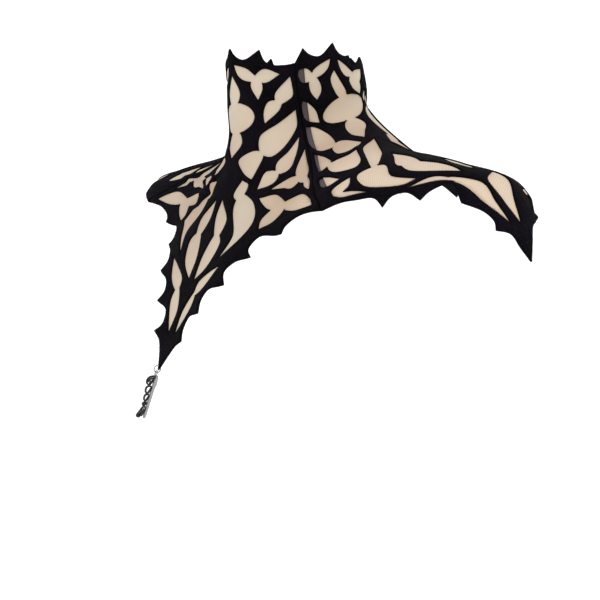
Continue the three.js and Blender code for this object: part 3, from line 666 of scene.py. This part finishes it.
# Smoky mesh is knitted nylon dyed a brownish black: dull, a shade lighter than the embroidery,
# with fine ribs across the strip. At the band scale a wave texture's bands lie one unit apart.
RIB_PITCH_MM = 0.9
BAND_SCALE = 0.315
smoke, tree, shader = new_material("smoky_nylon_mesh", {"Roughness": 0.75, "Sheen Weight": 0.08})
cloth = add(tree, "ShaderNodeUVMap", uv_map="cloth_mm")
rib = add(tree, "ShaderNodeTexWave", {"Vector": cloth.outputs[0], "Scale": BAND_SCALE / RIB_PITCH_MM,
                                      "Distortion": 0.6}, bands_direction="Y")
tint = add(tree, "ShaderNodeMix",
           {"Factor": rib.outputs["Fac"], "A": colour("372f33"), "B": colour("4d4144")}, data_type="RGBA")
tree.links.new(tint.outputs["Result"], shader.inputs["Base Color"])
lap_foot = SEAM_FOOT - LAP_SHORT
lap_far = closing_line("lap", SEAM_GAP, SEAM_TOP, lap_foot)
lap_near = closing_line("edge", -LAP_UNDER_DEGREES, SEAM_TOP, lap_foot - LAP_SLANT)
lap_loop = closed_outline([lap_far, [lap_far[-1], lap_near[-1]], lap_near[::-1], [lap_near[0], lap_far[0]]])
chart, triangles = cut_chart(lap_loop, [], field_points(lap_loop, LAP_GRID_MM))
underlap = laid("underlap_mesh", chart, triangles, LAP_OUT, LAP_IN, smoke)
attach(underlap, "root")
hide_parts("underlap_strip")

# Tracery: dense black embroidery, stitched through the tulle and cut out between its ribs. The
# openings are leaves with one pointed and one round end; where leaves run into each other, the
# thread between them ends in two barbs. The stitching stands up and rounds off towards its edges.

# The openings in chart points. Those of the front are cut on both sides of its middle line, the
# pairs on both sides of the shoulder, and the last two lists on one of the side panels each. The
# first two left leaves come again behind both shoulders.
FRONT_ROUND = dict(at=(0, -33.2), wide=38.5, tall=31)
FRONT_CENTRE = [
    dict(tip=(0, -71.5), over=(-7.6, -54.5), end=(0, -43), under=(7.6, -54.5)),
    dict(tip=(0, 1), over=(-8.8, -9.5), end=(0, -24), under=(8.8, -9.5)),
]
FRONT_LEAVES = [
    dict(tip=(3, -78.8), over=(14.7, -73.9), end=(22.8, -63.4), under=(12.2, -65.3), chin=(6.4, -70.1)),
    dict(tip=(38, -67.7), over=(26.5, -72.6), end=(19.4, -65.5), under=(27.8, -61.6)),
    dict(tip=(22.7, -47.8), over=(25.9, -58.6), end=(21.4, -68.4), under=(16.9, -61.4)),
    dict(tip=(45, -65.2), brow=(46.5, -57.8), over=(46.9, -47.4), end=(37, -41.8), under=(34.6, -51.2)),
    dict(tip=(26.9, -24.5), brow=(26.4, -35.9), over=(30.3, -45.6), end=(38.9, -45.2), under=(38, -37)),
    dict(tip=(49.4, -34.2), brow=(37.2, -23.6), over=(23.4, -13.2), end=(26.2, -0.7), under=(38, 2.6),
         chin=(49.9, -16.1)),
    dict(tip=(24.9, 14.1), brow=(14.6, 8.1), over=(8.6, 2), end=(20.5, -3), under=(28.4, -0.2)),
    dict(tip=(52.3, -7.1), brow=(45.6, 3.8), over=(39.5, 9.5), end=(41.4, 17.6), under=(48.1, 19.7),
         chin=(51.1, 9.1)),
    dict(tip=(30.6, 21.2), over=(33.2, 12.3), end=(42.4, 16.9), under=(41.5, 23.2)),
    dict(tip=(56.2, 6.8), over=(52.1, 24.9), end=(56.1, 42.2), under=(58, 34.5), chin=(57, 16.6)),
    dict(tip=(39.8, 26.6), over=(50.2, 27.2), end=(56.3, 35), under=(52.4, 38.9), chin=(47, 32.1)),
    dict(tip=(33.9, 27.8), over=(43.8, 33.5), end=(50, 50.8), under=(42.1, 41.9), chin=(37, 33.3)),
    dict(tip=(38.5, 50.2), brow=(38.8, 44.4), over=(42.7, 42.7), end=(46.2, 40.3), under=(49.5, 52.2),
         chin=(45.7, 53.7)),
    dict(tip=(58.4, 69.3), brow=(57.7, 61.2), over=(54.8, 51.2), end=(46.9, 44.2), under=(52.4, 58.5)),
    dict(tip=(18.5, 51.5), brow=(23.6, 42.5), over=(16.5, 25), end=(18.8, 19.8), under=(30.1, 27.4),
         chin=(34, 43.3)),
    dict(tip=(16.9, 13), over=(23.7, 16.9), end=(20.3, 23.2), under=(12.9, 19.7)),
    dict(tip=(3.4, 21.3), over=(2.8, 30.5), end=(10.2, 40.8), under=(14.5, 32.5)),
    dict(tip=(2.4, 56.2), over=(2.6, 46.5), end=(8.6, 37), under=(15.4, 42.5), chin=(11.8, 51.2)),
    dict(tip=(22, 55.7), brow=(15.3, 55.5), over=(7.6, 57.8), end=(7.6, 62.4), under=(14.8, 61.8)),
    dict(tip=(2.6, 75.6), over=(2.3, 67.2), end=(8.2, 60.4), under=(9.6, 66.5)),
    dict(tip=(57.9, 54.7), over=(56.1, 45.2), end=(56.4, 34.6), under=(58.1, 44.2)),
]
SIDE_ROUND = dict(at=(96.5, -20.8), wide=50.5, tall=31)
SIDE_LEAVES = [
    dict(tip=(51, -65), brow=(51.8, -69.6), over=(57.7, -70.3), end=(64.8, -60), under=(54.6, -58.2)),
    dict(tip=(79.3, -78.2), over=(64.9, -69.9), end=(59.4, -61), under=(68.8, -62), chin=(76.6, -68.9)),
    dict(tip=(66.3, -39.2), brow=(69.7, -47), over=(68.3, -56.9), end=(61, -66.7), under=(59.6, -56),
         chin=(61.7, -46.5)),
    dict(tip=(82.6, -66.2), brow=(78.7, -57.5), over=(83.3, -40.5), end=(92, -29.5), under=(95.4, -35),
         chin=(87.8, -55.4)),
    dict(tip=(86.9, -77.5), over=(100.9, -67.8), end=(110.9, -58), under=(95.4, -58.6), chin=(89.4, -67.6)),
    dict(tip=(116.3, -33.3), brow=(103.1, -43.9), over=(99.4, -54.7), end=(105.9, -63.9),
         under=(116.4, -54), chin=(117.7, -43.1)),
    dict(tip=(125.3, -68.1), over=(108, -65), end=(102.5, -57.5), under=(113.4, -50.5), chin=(122.4, -58)),
    dict(tip=(88.5, 16.1), brow=(95.5, 9), over=(104.4, 1.5), end=(95.5, -8), under=(87, -2.6),
         chin=(84.3, 10.8)),
    dict(tip=(68.1, -16.1), over=(64.7, -29.9), end=(54.9, -41), under=(57, -22.6)),
    dict(tip=(127, -17.5), over=(122.5, -30), end=(126, -42), under=(128.8, -30)),
    dict(tip=(76.2, 76.5), brow=(73, 74.4), over=(74.1, 62.3), end=(68.4, 67), under=(68.7, 77.1),
         chin=(73.3, 78.9)),
    dict(tip=(74.3, 79.9), over=(79.6, 75.3), end=(83, 77.8), under=(79.8, 77.3)),
    dict(tip=(87.5, 88.4), brow=(86.1, 82.7), over=(85.3, 76.7), end=(81, 75.6), under=(82.4, 80.4)),
    dict(tip=(89.4, 88.2), brow=(89.9, 80.9), over=(92.5, 73.3), end=(93.2, 69.3), under=(87.1, 75.2),
         chin=(87.5, 82.2)),
    dict(tip=(94.5, 49.6), over=(90.4, 57.5), end=(87.9, 68.4), under=(94, 60.5)),
    dict(tip=(97.5, 33), over=(90.8, 42), end=(93, 47), under=(97.2, 42)),
]
SIDE_AXIS = 94
SIDE_PAIRS = [
    dict(tip=(56.8, -15.5), brow=(64.4, -12.3), over=(72.4, -0.6), end=(71.9, 16.8), under=(66.1, 20),
         chin=(59.9, 7.5)),
    dict(tip=(83.8, 20.9), over=(74.7, 13.4), end=(70.6, 16.2), under=(70.1, 31.9), chin=(74.7, 31.1)),
    dict(tip=(92.7, 18.6), brow=(86.2, 30.2), over=(77.6, 50.1), end=(71.7, 65.5), under=(74.6, 46.3),
         chin=(81, 28.1)),
    dict(tip=(81.7, 46.3), over=(83.6, 53.3), end=(79.8, 66), under=(76, 67.5)),
    dict(tip=(84.1, 72.3), over=(85, 62), end=(79.2, 60.8), under=(76.2, 72.4)),
]
LEFT_LEAVES = [
    dict(tip=(60.8, 17.5), over=(64.9, 28.5), end=(65.4, 41.2), under=(62, 45), chin=(61, 33.9)),
    dict(tip=(76.1, 32.5), brow=(70.6, 37.8), over=(67, 39.2), end=(64.6, 40.8), under=(65.2, 56.5),
         chin=(68.6, 59.6)),
    dict(tip=(65.2, 64.4), over=(62.6, 55), end=(60.9, 51.6), under=(61.3, 62.5), chin=(63, 65.2)),
    dict(tip=(66.8, 67), over=(62.9, 69.6), end=(63.4, 75.2), under=(65.4, 74)),
    dict(tip=(68.6, 79.2), over=(65.6, 75.9), end=(62.9, 73.2), under=(64.4, 77.2)),
]
RIGHT_LEAVES = [
    dict(tip=(60.8, 35), over=(61, 19), end=(63.2, 38.6), under=(61.9, 40.6)),
    dict(tip=(66.5, 34.7), over=(65.8, 46.9), end=(64, 61.3), under=(61.5, 47.3)),
    dict(tip=(74.5, 36), over=(70.5, 47), end=(67, 66), under=(68.2, 52)),
]

# The stitching's inner face, its outer face at an edge and how much that rises inwards, as
# heights from the worn shape, and over what width it rises. Then how far the filling points and
# the points of the rounding, as a share of that width, keep clear of the edges.
STITCH_UNDER = -1.4
STITCH_EDGE = -0.7
STITCH_RISE = 0.75
ROUNDING_MM = 0.7
FILL_CLEAR_MM = 1.2
ROUNDING_CLEAR = 0.8
LEAF_SAMPLES = 60
ROUND_SAMPLES = 90


def leaf(tip, over, end, under, brow=None, chin=None):
    """A leaf opening: pointed at its tip, rounded at its end, with a belly on either side."""
    knots = [point for point in (tip, brow, over, end, under, chin, tip) if point]
    loop = closed_outline([scallop(knots, LEAF_SAMPLES)])
    return loop if area_of(loop) > 0 else loop[::-1]


def round_opening(at, wide, tall):
    """A round opening of so many degrees by so many levels."""
    angle = np.linspace(0, 2 * math.pi, ROUND_SAMPLES)
    across, down = at[0] + wide / 2 * np.cos(angle), at[1] + tall / 2 * np.sin(angle)
    return closed_outline([np.stack([across, down], axis=1)])


def mirrored(row, axis=0.0):
    """The same opening on the other side of a bearing."""
    return {key: (2 * axis - u, v) for key, (u, v) in row.items()}


# Only points this close to an opening's own box, in degrees and levels, are held against it.
NEARBY = 2


def clear_of(points, loop, openings, distance):
    """Whether points lie in the stitching, and no nearer to its edges than a distance."""
    reach = degree_mm(points[:, 0], points[:, 1])
    keep = inside(points, loop) & (distance_to(points, loop) * reach > distance)
    for opening in openings:
        low, high = opening.min(axis=0) - NEARBY, opening.max(axis=0) + NEARBY
        close = np.flatnonzero(keep & np.all((points > low) & (points < high), axis=1))
        if len(close):
            spots = points[close]
            bad = inside(spots, opening) | (distance_to(spots, opening) * reach[close] < distance)
            keep[close[bad]] = False
    return keep


def near_edges(loop, openings, distance):
    """Chart points just inside the stitching, so that it can round off there."""
    points = []
    for line, sign in [(loop, 1), *[(opening, -1) for opening in openings]]:
        ahead = np.roll(line, -1, axis=0) - np.roll(line, 1, axis=0)
        ahead /= np.maximum(np.linalg.norm(ahead, axis=1, keepdims=True), NO_LENGTH)
        normal = np.stack([-ahead[:, 1], ahead[:, 0]], axis=1) * np.sign(area_of(line)) * sign
        points.append(line + normal * (distance / degree_mm(line[:, 0], line[:, 1]))[:, None])
    points = np.concatenate(points)
    return points[clear_of(points, loop, openings, ROUNDING_CLEAR * distance)]


def edge_distance(points, pairs):
    """Distance in millimetres from each point to the nearest of the cut edges."""
    ends = np.unique(np.array(pairs))
    best = np.empty(len(points))
    for block in range(0, len(points), BLOCK):
        gap = points[block:block + BLOCK, None] - points[ends][None]
        best[block:block + BLOCK] = np.sqrt((gap**2).sum(axis=2)).min(axis=1)
    return best


# Black rayon embroidery is machine-stitched thread, dyed a bluish black and nearly matt. Its runs
# of thread drift in direction and raise a faint grain, and paler flecks are painted glints of light
# on the thread.
THREAD_PITCH_MM = 0.75
THREAD_RUNS_PER_MM = 0.11
THREAD_LEAN = 0.9
FLECKS_PER_MM = 1.1
DYE_PATCHES_PER_M = 30
black, tree, shader = new_material("black_rayon_embroidery", {
    "Roughness": 0.78, "Specular IOR Level": 0.02})
cloth = add(tree, "ShaderNodeUVMap", uv_map="cloth_mm")
place = add(tree, "ShaderNodeTexCoord")
warp = add(tree, "ShaderNodeTexNoise",
           {"Vector": cloth.outputs[0], "Scale": THREAD_RUNS_PER_MM, "Detail": 2})
swing = add(tree, "ShaderNodeMapRange", {"Value": warp.outputs["Fac"], "From Min": 0.3, "From Max": 0.7,
                                         "To Min": -THREAD_LEAN, "To Max": THREAD_LEAN})
lean = add(tree, "ShaderNodeVectorRotate", {"Vector": cloth.outputs[0], "Axis": (0, 0, 1),
                                            "Angle": swing.outputs[0]}, rotation_type="AXIS_ANGLE")
thread = add(tree, "ShaderNodeTexWave", {"Vector": lean.outputs[0], "Scale": BAND_SCALE / THREAD_PITCH_MM,
                                         "Distortion": 1.5, "Detail": 2, "Detail Scale": 1.2})
fuzz = add(tree, "ShaderNodeTexNoise", {"Vector": cloth.outputs[0], "Scale": FLECKS_PER_MM, "Detail": 4})
hue = add(tree, "ShaderNodeTexNoise",
          {"Vector": place.outputs["Object"], "Scale": DYE_PATCHES_PER_M, "Detail": 1})
dye = add(tree, "ShaderNodeValToRGB", {0: hue.outputs["Fac"]})
dye.color_ramp.elements[0].position = 0.35
dye.color_ramp.elements[0].color = colour("080709")
dye.color_ramp.elements[1].position = 0.68
dye.color_ramp.elements[1].color = colour("0f0c14")
# The paler flecks are painted glints of light on the thread.
painted_glint_share = add(tree, "ShaderNodeMapRange", {"Value": fuzz.outputs["Fac"], "From Min": 0.56, "From Max": 0.72,
                                         "To Max": 0.6})
dye_and_painted_glints = add(tree, "ShaderNodeMix", {"Factor": painted_glint_share.outputs[0], "A": dye.outputs[0], "B": colour("322b30")},
            data_type="RGBA")
relief = add(tree, "ShaderNodeMath", {0: thread.outputs["Fac"], 1: fuzz.outputs["Fac"]}, operation="ADD")
bump = add(tree, "ShaderNodeBump", {"Strength": 0.6, "Distance": 0.0002, "Height": relief.outputs[0]})
tree.links.new(dye_and_painted_glints.outputs["Result"], shader.inputs["Base Color"])
tree.links.new(bump.outputs[0], shader.inputs["Normal"])


def make_tracery(name, loop, openings, side=1):
    """One panel of embroidery. Its chart and its cut edges are returned for the edge stitches."""
    extra = field_points(loop, GRID_MM)
    extra = extra[clear_of(extra, loop, openings, FILL_CLEAR_MM)]
    shoulders = near_edges(loop, openings, ROUNDING_MM)
    chart, triangles = cut_chart(loop, openings, np.concatenate([extra, shoulders]))
    pairs = rim_edges(triangles)
    depth = edge_distance(bare_shape(chart[:, 0], chart[:, 1]), pairs)
    rounded = np.sqrt(1 - (1 - np.clip(depth / ROUNDING_MM, 0, 1)) ** 2)
    outer = STITCH_EDGE + STITCH_RISE * rounded
    piece = laid(name + "_embroidery", chart, triangles, outer, STITCH_UNDER, black, side)
    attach(piece, "root")
    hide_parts(name)
    return piece, chart, pairs


front_openings = [*[leaf(**row) for row in FRONT_CENTRE], round_opening(**FRONT_ROUND)]
front_openings += [leaf(**row) for row in FRONT_LEAVES]
front_openings += [leaf(**mirrored(row)) for row in FRONT_LEAVES]

# The back repeats the front openings that lie wholly within a reach, mirrored about the side.
BACK_REACH = (50.5, 51)
BACK_AXIS = 90
back_rows = [row for row in FRONT_LEAVES
             if all(u < BACK_REACH[0] and v < BACK_REACH[1] for u, v in row.values())]
side_openings = [round_opening(**SIDE_ROUND)]
side_openings += [leaf(**row) for row in [*SIDE_LEAVES, *SIDE_PAIRS]]
side_openings += [leaf(**mirrored(row, SIDE_AXIS)) for row in [*SIDE_PAIRS, *LEFT_LEAVES[:2]]]
side_openings += [leaf(**mirrored(row, BACK_AXIS)) for row in back_rows]
left_openings = side_openings + [leaf(**row) for row in LEFT_LEAVES]
right_openings = side_openings + [leaf(**row) for row in RIGHT_LEAVES]
tracery_front, front_chart, front_pairs = make_tracery("tracery_front", front_outline(), front_openings)
tracery_left, side_chart, side_pairs = make_tracery("tracery_left", side_outline(), left_openings)
tracery_right, right_chart, right_pairs = make_tracery("tracery_right", side_outline(),
                                                       right_openings, side=-1)

# Edge stitching: a satin stitch closes every cut edge of the embroidery. Its threads lie across
# the edge, padded and tight; they are 0.4 mm apart and drawn here every 0.9 mm. They are sewn
# through the tulle.
STITCH_PITCH_MM = 0.9
STITCH_SIZE_MM = (0.78, 1.25, 0.42)
STITCH_INSET_MM = 0.5
STITCH_SEAT = 0.62


def new_tree(name, sizes):
    """A geometry tree with one mesh input and named sizes in metres."""
    tree = bpy.data.node_groups.new(name, "GeometryNodeTree")
    tree.interface.new_socket("Geometry", in_out="INPUT", socket_type="NodeSocketGeometry")
    tree.interface.new_socket("Geometry", in_out="OUTPUT", socket_type="NodeSocketGeometry")
    sockets = {}
    for label in sizes:
        socket = tree.interface.new_socket(label, in_out="INPUT", socket_type="NodeSocketFloat")
        sockets[label] = socket.identifier
    return tree, add(tree, "NodeGroupInput"), sockets


STITCH_SIZES = {"Pitch": STITCH_PITCH_MM * MM, "Along": STITCH_SIZE_MM[0] * MM,
                "Across": STITCH_SIZE_MM[1] * MM, "High": STITCH_SIZE_MM[2] * MM}
stitch_tree, given, stitch_sockets = new_tree("satin_edge_stitch", STITCH_SIZES)

# Each stitch is a grain with its three sizes, stood up on the cloth and turned along the edge.
edge = add(stitch_tree, "GeometryNodeMeshToCurve", {"Mesh": given.outputs["Geometry"]})
spots = add(stitch_tree, "GeometryNodeCurveToPoints",
            {"Curve": edge.outputs[0], "Length": given.outputs["Pitch"]}, mode="LENGTH")
upward = add(stitch_tree, "GeometryNodeInputNamedAttribute", {"Name": "up"}, data_type="FLOAT_VECTOR")
stood = add(stitch_tree, "FunctionNodeAlignRotationToVector", {"Vector": upward.outputs["Attribute"]},
            axis="Z")
turned = add(stitch_tree, "FunctionNodeAlignRotationToVector",
             {"Rotation": stood.outputs[0], "Vector": spots.outputs["Tangent"]}, axis="X", pivot_axis="Z")
uneven = add(stitch_tree, "FunctionNodeRandomValue",
             {"Min": (0.85, 0.8, 0.7), "Max": (1.1, 1.2, 1.15), "Seed": 7}, data_type="FLOAT_VECTOR")
grain = add(stitch_tree, "ShaderNodeCombineXYZ", {"X": given.outputs["Along"], "Y": given.outputs["Across"],
                                                  "Z": given.outputs["High"]})
scale = add(stitch_tree, "ShaderNodeVectorMath", {0: grain.outputs[0], 1: uneven.outputs["Value"]},
            operation="MULTIPLY")
ball = add(stitch_tree, "GeometryNodeMeshIcoSphere", {"Radius": 0.5, "Subdivisions": 1})
placed = add(stitch_tree, "GeometryNodeInstanceOnPoints",
             {"Points": spots.outputs["Points"], "Instance": ball.outputs["Mesh"],
              "Rotation": turned.outputs[0], "Scale": scale.outputs[0]})
real = add(stitch_tree, "GeometryNodeRealizeInstances", {"Geometry": placed.outputs[0]})
dressed = add(stitch_tree, "GeometryNodeSetMaterial", {"Geometry": real.outputs[0], "Material": black})
add(stitch_tree, "NodeGroupOutput", {"Geometry": dressed.outputs[0]})


def grown(name, lines, tree, sockets, sizes):
    """Runs a geometry tree on a mesh object and keeps the result as one plain mesh."""
    modifier = lines.modifiers.new("made", "NODES")
    modifier.node_group = tree
    for label, value in sizes.items():
        modifier[sockets[label]] = value
    depsgraph = bpy.context.evaluated_depsgraph_get()
    mesh = bpy.data.meshes.new_from_object(lines.evaluated_get(depsgraph))
    lines.modifiers.remove(modifier)
    bpy.data.objects.remove(lines)
    mesh.name = name
    mesh.polygons.foreach_set("use_smooth", [True] * len(mesh.polygons))
    piece = bpy.data.objects.new(name, mesh)
    bpy.context.collection.objects.link(piece)
    return piece


def edge_stitches(name, chart, pairs, side=1):
    """The stitches along one panel's cut edges, seated part of the way up its rounding."""
    used = np.unique(np.array(pairs))
    rank = {k: order for order, k in enumerate(used)}
    ahead = {a: b for a, b in pairs}
    behind = {b: a for a, b in pairs}
    inward = np.zeros((len(used), 2))
    for k in used:
        along = chart[ahead.get(k, k)] - chart[behind.get(k, k)]
        along = along / max(np.linalg.norm(along), NO_LENGTH)
        inward[rank[k]] = (-along[1], along[0])
    spot = chart[used]
    spot = spot + inward * (STITCH_INSET_MM / degree_mm(spot[:, 0], spot[:, 1]))[:, None]
    u, v = spot[:, 0] * side, spot[:, 1]
    height = np.full(len(u), STITCH_EDGE + STITCH_SEAT * STITCH_RISE)
    mesh = bpy.data.meshes.new(name)
    mesh.from_pydata([tuple(p) for p in worn(u, v, height)], [(rank[a], rank[b]) for a, b in pairs], [])
    up = mesh.attributes.new("up", "FLOAT_VECTOR", "POINT")
    up.data.foreach_set("vector", outward(u, v).astype(np.float32).ravel())
    lines = bpy.data.objects.new(name + "_lines", mesh)
    bpy.context.collection.objects.link(lines)
    piece = grown(name, lines, stitch_tree, stitch_sockets, STITCH_SIZES)
    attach(piece, "root")
    return piece


stitches_front = edge_stitches("edge_stitches_front", front_chart, front_pairs)
stitches_left = edge_stitches("edge_stitches_left", side_chart, side_pairs)
stitches_right = edge_stitches("edge_stitches_right", right_chart, right_pairs, side=-1)

# Jump ring and pull: cast silver, worn to a soft grey along its bar and oxidised black in its
# openwork. The ring goes through the front point of the embroidery and the eye of the pull.
BRUSH_MARKS_PER_M = 900
TARNISH_SPOTS_PER_M = 700

# Worn cast silver is rubbed to a soft grey: blurred highlights, no mirror, and a fine grain.
silver, tree, shader = new_material("worn_cast_silver", {"Metallic": 0.75, "Roughness": 0.5})
place = add(tree, "ShaderNodeTexCoord")
brushed = add(tree, "ShaderNodeTexNoise",
              {"Vector": place.outputs["Object"], "Scale": BRUSH_MARKS_PER_M, "Detail": 3})
grey = add(tree, "ShaderNodeValToRGB", {0: brushed.outputs["Fac"]})
grey.color_ramp.elements[0].color = colour("7e807f")
grey.color_ramp.elements[1].color = colour("a8aaa9")
bump = add(tree, "ShaderNodeBump", {"Strength": 0.3, "Distance": 0.0001, "Height": brushed.outputs["Fac"]})
tree.links.new(grey.outputs[0], shader.inputs["Base Color"])
tree.links.new(bump.outputs[0], shader.inputs["Normal"])

# Oxidised silver is dipped in a sulphide bath and left black, with greyer spots where it rubs.
oxidised, tree, shader = new_material("oxidised_silver", {"Metallic": 0.6, "Roughness": 0.45})
place = add(tree, "ShaderNodeTexCoord")
cloudy = add(tree, "ShaderNodeTexNoise",
             {"Vector": place.outputs["Object"], "Scale": TARNISH_SPOTS_PER_M, "Detail": 2})
soot = add(tree, "ShaderNodeValToRGB", {0: cloudy.outputs["Fac"]})
soot.color_ramp.elements[0].position = 0.42
soot.color_ramp.elements[0].color = colour("0d0d0e")
soot.color_ramp.elements[1].position = 0.8
soot.color_ramp.elements[1].color = colour("4a4a4a")
tree.links.new(soot.outputs[0], shader.inputs["Base Color"])
bpy.data.objects["jump_ring"].material_slots[0].material = silver

# Rows of the openwork: points down the pull and away from the cloth, in millimetres, with the
# half width of the wire. The bar lies along its side towards the cloth. The eye is a ring of
# wire at its head, turned a quarter to it.
PULL_WIRES = [
    dict(wide=0.62, closed=True,
         line=[(2.9, 0.3), (3.7, 3.1), (5.3, 4.5), (8, 4.5), (9.1, 2.8), (9.1, 0.3)]),
    dict(wide=0.52, closed=False, line=[(4, 0.6), (5.2, 2.6), (7.6, 4.2)]),
    dict(wide=0.52, closed=False, line=[(6.2, 0.4), (6.6, 1.9), (8.8, 2.4)]),
    dict(wide=0.62, closed=True,
         line=[(10.2, 0.3), (10, 2.4), (11.2, 3.7), (13.8, 3.5), (15, 2), (14.5, 0.3)]),
    dict(wide=0.6, closed=True,
         line=[(15.9, 0.3), (15.5, 2), (16.6, 3.1), (18.9, 3), (20.1, 1.7), (19.6, 0.3)]),
    dict(wide=0.75, closed=True, line=[(21, 0.8), (21.2, 2.2), (22.2, 2.8), (23.1, 2), (22.9, 0.7)]),
    dict(wide=0.66, closed=True,
         line=[(24, 0.4), (24.3, 2), (27.2, 3.3), (30.6, 4.5), (31.1, 3.6), (30.6, 0.4)]),
    dict(wide=0.6, closed=False, line=[(25.3, 0.7), (27.6, 1.7), (30.2, 3.2)]),
    dict(wide=0.5, closed=False, line=[(26.4, 0.4), (28.4, 0.9), (30.4, 1.6)]),
]
WIRE_SAMPLES = 14
LOOP_SAMPLES = 6
PULL_HALF_MM = 0.95
BAR_LINE = [(1.9, -1), (7.5, -1.25), (10.5, -1), (20, -0.95), (31.2, -0.9)]
BAR_HALVES = [1.1, 1.5, 1.15, 1.1, 1.0]
BAR_HALF_MM = 1.1
BAR_SAMPLES = 22
BAR_TAPER = 0.6
EYE_RING = dict(at=0.45, radius=1.6, wire=0.42)
EYE_STEPS = 28
EYE_SIDES = 10
EYE_BELOW_MM = 2.4
WIRE_FINISH = 1
BAR_FINISH = 0

# The pull hangs from the jump ring, along the worn shape between these levels.
HANG_TOP = 88
HANG_MIDDLE = 92
HANG_FOOT = 100
ring_low, ring_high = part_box("jump_ring")
pull_down = bare_shape([0], [HANG_FOOT])[0] - bare_shape([0], [HANG_TOP])[0]
pull_down /= np.linalg.norm(pull_down)
pull_away = outward(np.array([0.0]), np.array([HANG_MIDDLE]))[0]
pull_across = np.array([-1.0, 0, 0])
pull_top = (np.array(ring_low) + np.array(ring_high)) / 2 + pull_down * EYE_BELOW_MM * MM


def tube_faces(spans, count, sides):
    """The faces between the sections of a tube, from one section to the next for so many spans."""
    faces = []
    for k in range(spans):
        here, there = k * sides, (k + 1) % count * sides
        for m in range(sides):
            n = (m + 1) % sides
            faces.append((here + m, here + n, there + n, there + m))
    return faces


def swept(line, halves, deep, closed=False, sides=10, rounding=0.72):
    """A wire of rounded section along a line that lies in the plane of the pull."""
    line, halves = np.asarray(line, float), np.asarray(halves, float)
    if closed:
        ahead = np.roll(line, -1, axis=0) - np.roll(line, 1, axis=0)
    else:
        ahead = np.gradient(line, axis=0)
    ahead /= np.linalg.norm(ahead, axis=1, keepdims=True)
    beside = np.stack([-ahead[:, 1], ahead[:, 0]], axis=1)
    angle = np.linspace(0, 2 * math.pi, sides, endpoint=False)
    cross = np.sign(np.cos(angle)) * np.abs(np.cos(angle)) ** rounding
    depth = np.sign(np.sin(angle)) * np.abs(np.sin(angle)) ** rounding
    flat = line[:, None] + beside[:, None] * (halves[:, None] * cross[None])[..., None]
    points = (pull_top + MM * (flat[..., :1] * pull_down + flat[..., 1:] * pull_away
                               + deep * depth[None, :, None] * pull_across)).reshape(-1, 3)
    count = len(line)
    faces = tube_faces(count if closed else count - 1, count, sides)
    if not closed:
        faces += [tuple(range(sides))[::-1], tuple(range((count - 1) * sides, count * sides))]
    return points, faces


def smooth_line(points, closed):
    """A smooth line through a wire's points. A closed one is drawn past both its ends, so that it
    bends there too, and cut back to an arch, which a straight wire closes."""
    if not closed:
        return scallop(points, WIRE_SAMPLES)
    looped = [*points[-2:], *points, *points[:2]]
    dense = scallop(looped, (len(looped) - 1) * LOOP_SAMPLES + 1)
    return dense[2 * LOOP_SAMPLES:-3 * LOOP_SAMPLES]


parts = []
for row in PULL_WIRES:
    line = smooth_line(row["line"], row["closed"])
    wire = swept(line, np.full(len(line), row["wide"]), PULL_HALF_MM, row["closed"])
    parts.append((wire, WIRE_FINISH))
bar = scallop(BAR_LINE, BAR_SAMPLES)
bar_halves = np.interp(bar[:, 0], [p[0] for p in BAR_LINE], BAR_HALVES)
bar_halves[[0, -1]] *= BAR_TAPER
parts.append((swept(bar, bar_halves, BAR_HALF_MM), BAR_FINISH))
eye_points = []
for k in range(EYE_STEPS):
    a = 2 * math.pi * k / EYE_STEPS
    for m in range(EYE_SIDES):
        b = 2 * math.pi * m / EYE_SIDES
        out = EYE_RING["radius"] + EYE_RING["wire"] * math.cos(b)
        eye_points.append(pull_top + MM * ((EYE_RING["at"] + out * math.cos(a)) * pull_down
                                           + EYE_RING["wire"] * math.sin(b) * pull_away
                                           + out * math.sin(a) * pull_across))
parts.append(((np.array(eye_points), tube_faces(EYE_STEPS, EYE_STEPS, EYE_SIDES)), BAR_FINISH))
pull_points, pull_faces, finishes = [], [], []
for (points, faces), finish in parts:
    start = len(pull_points)
    pull_points.extend(points)
    pull_faces.extend(tuple(start + k for k in face) for face in faces)
    finishes.extend([finish] * len(faces))
pull = finished("pull_openwork", pull_points, pull_faces, silver)
pull.data.materials.append(oxidised)
pull.data.polygons.foreach_set("material_index", finishes)
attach(pull, "root")
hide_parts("pull")
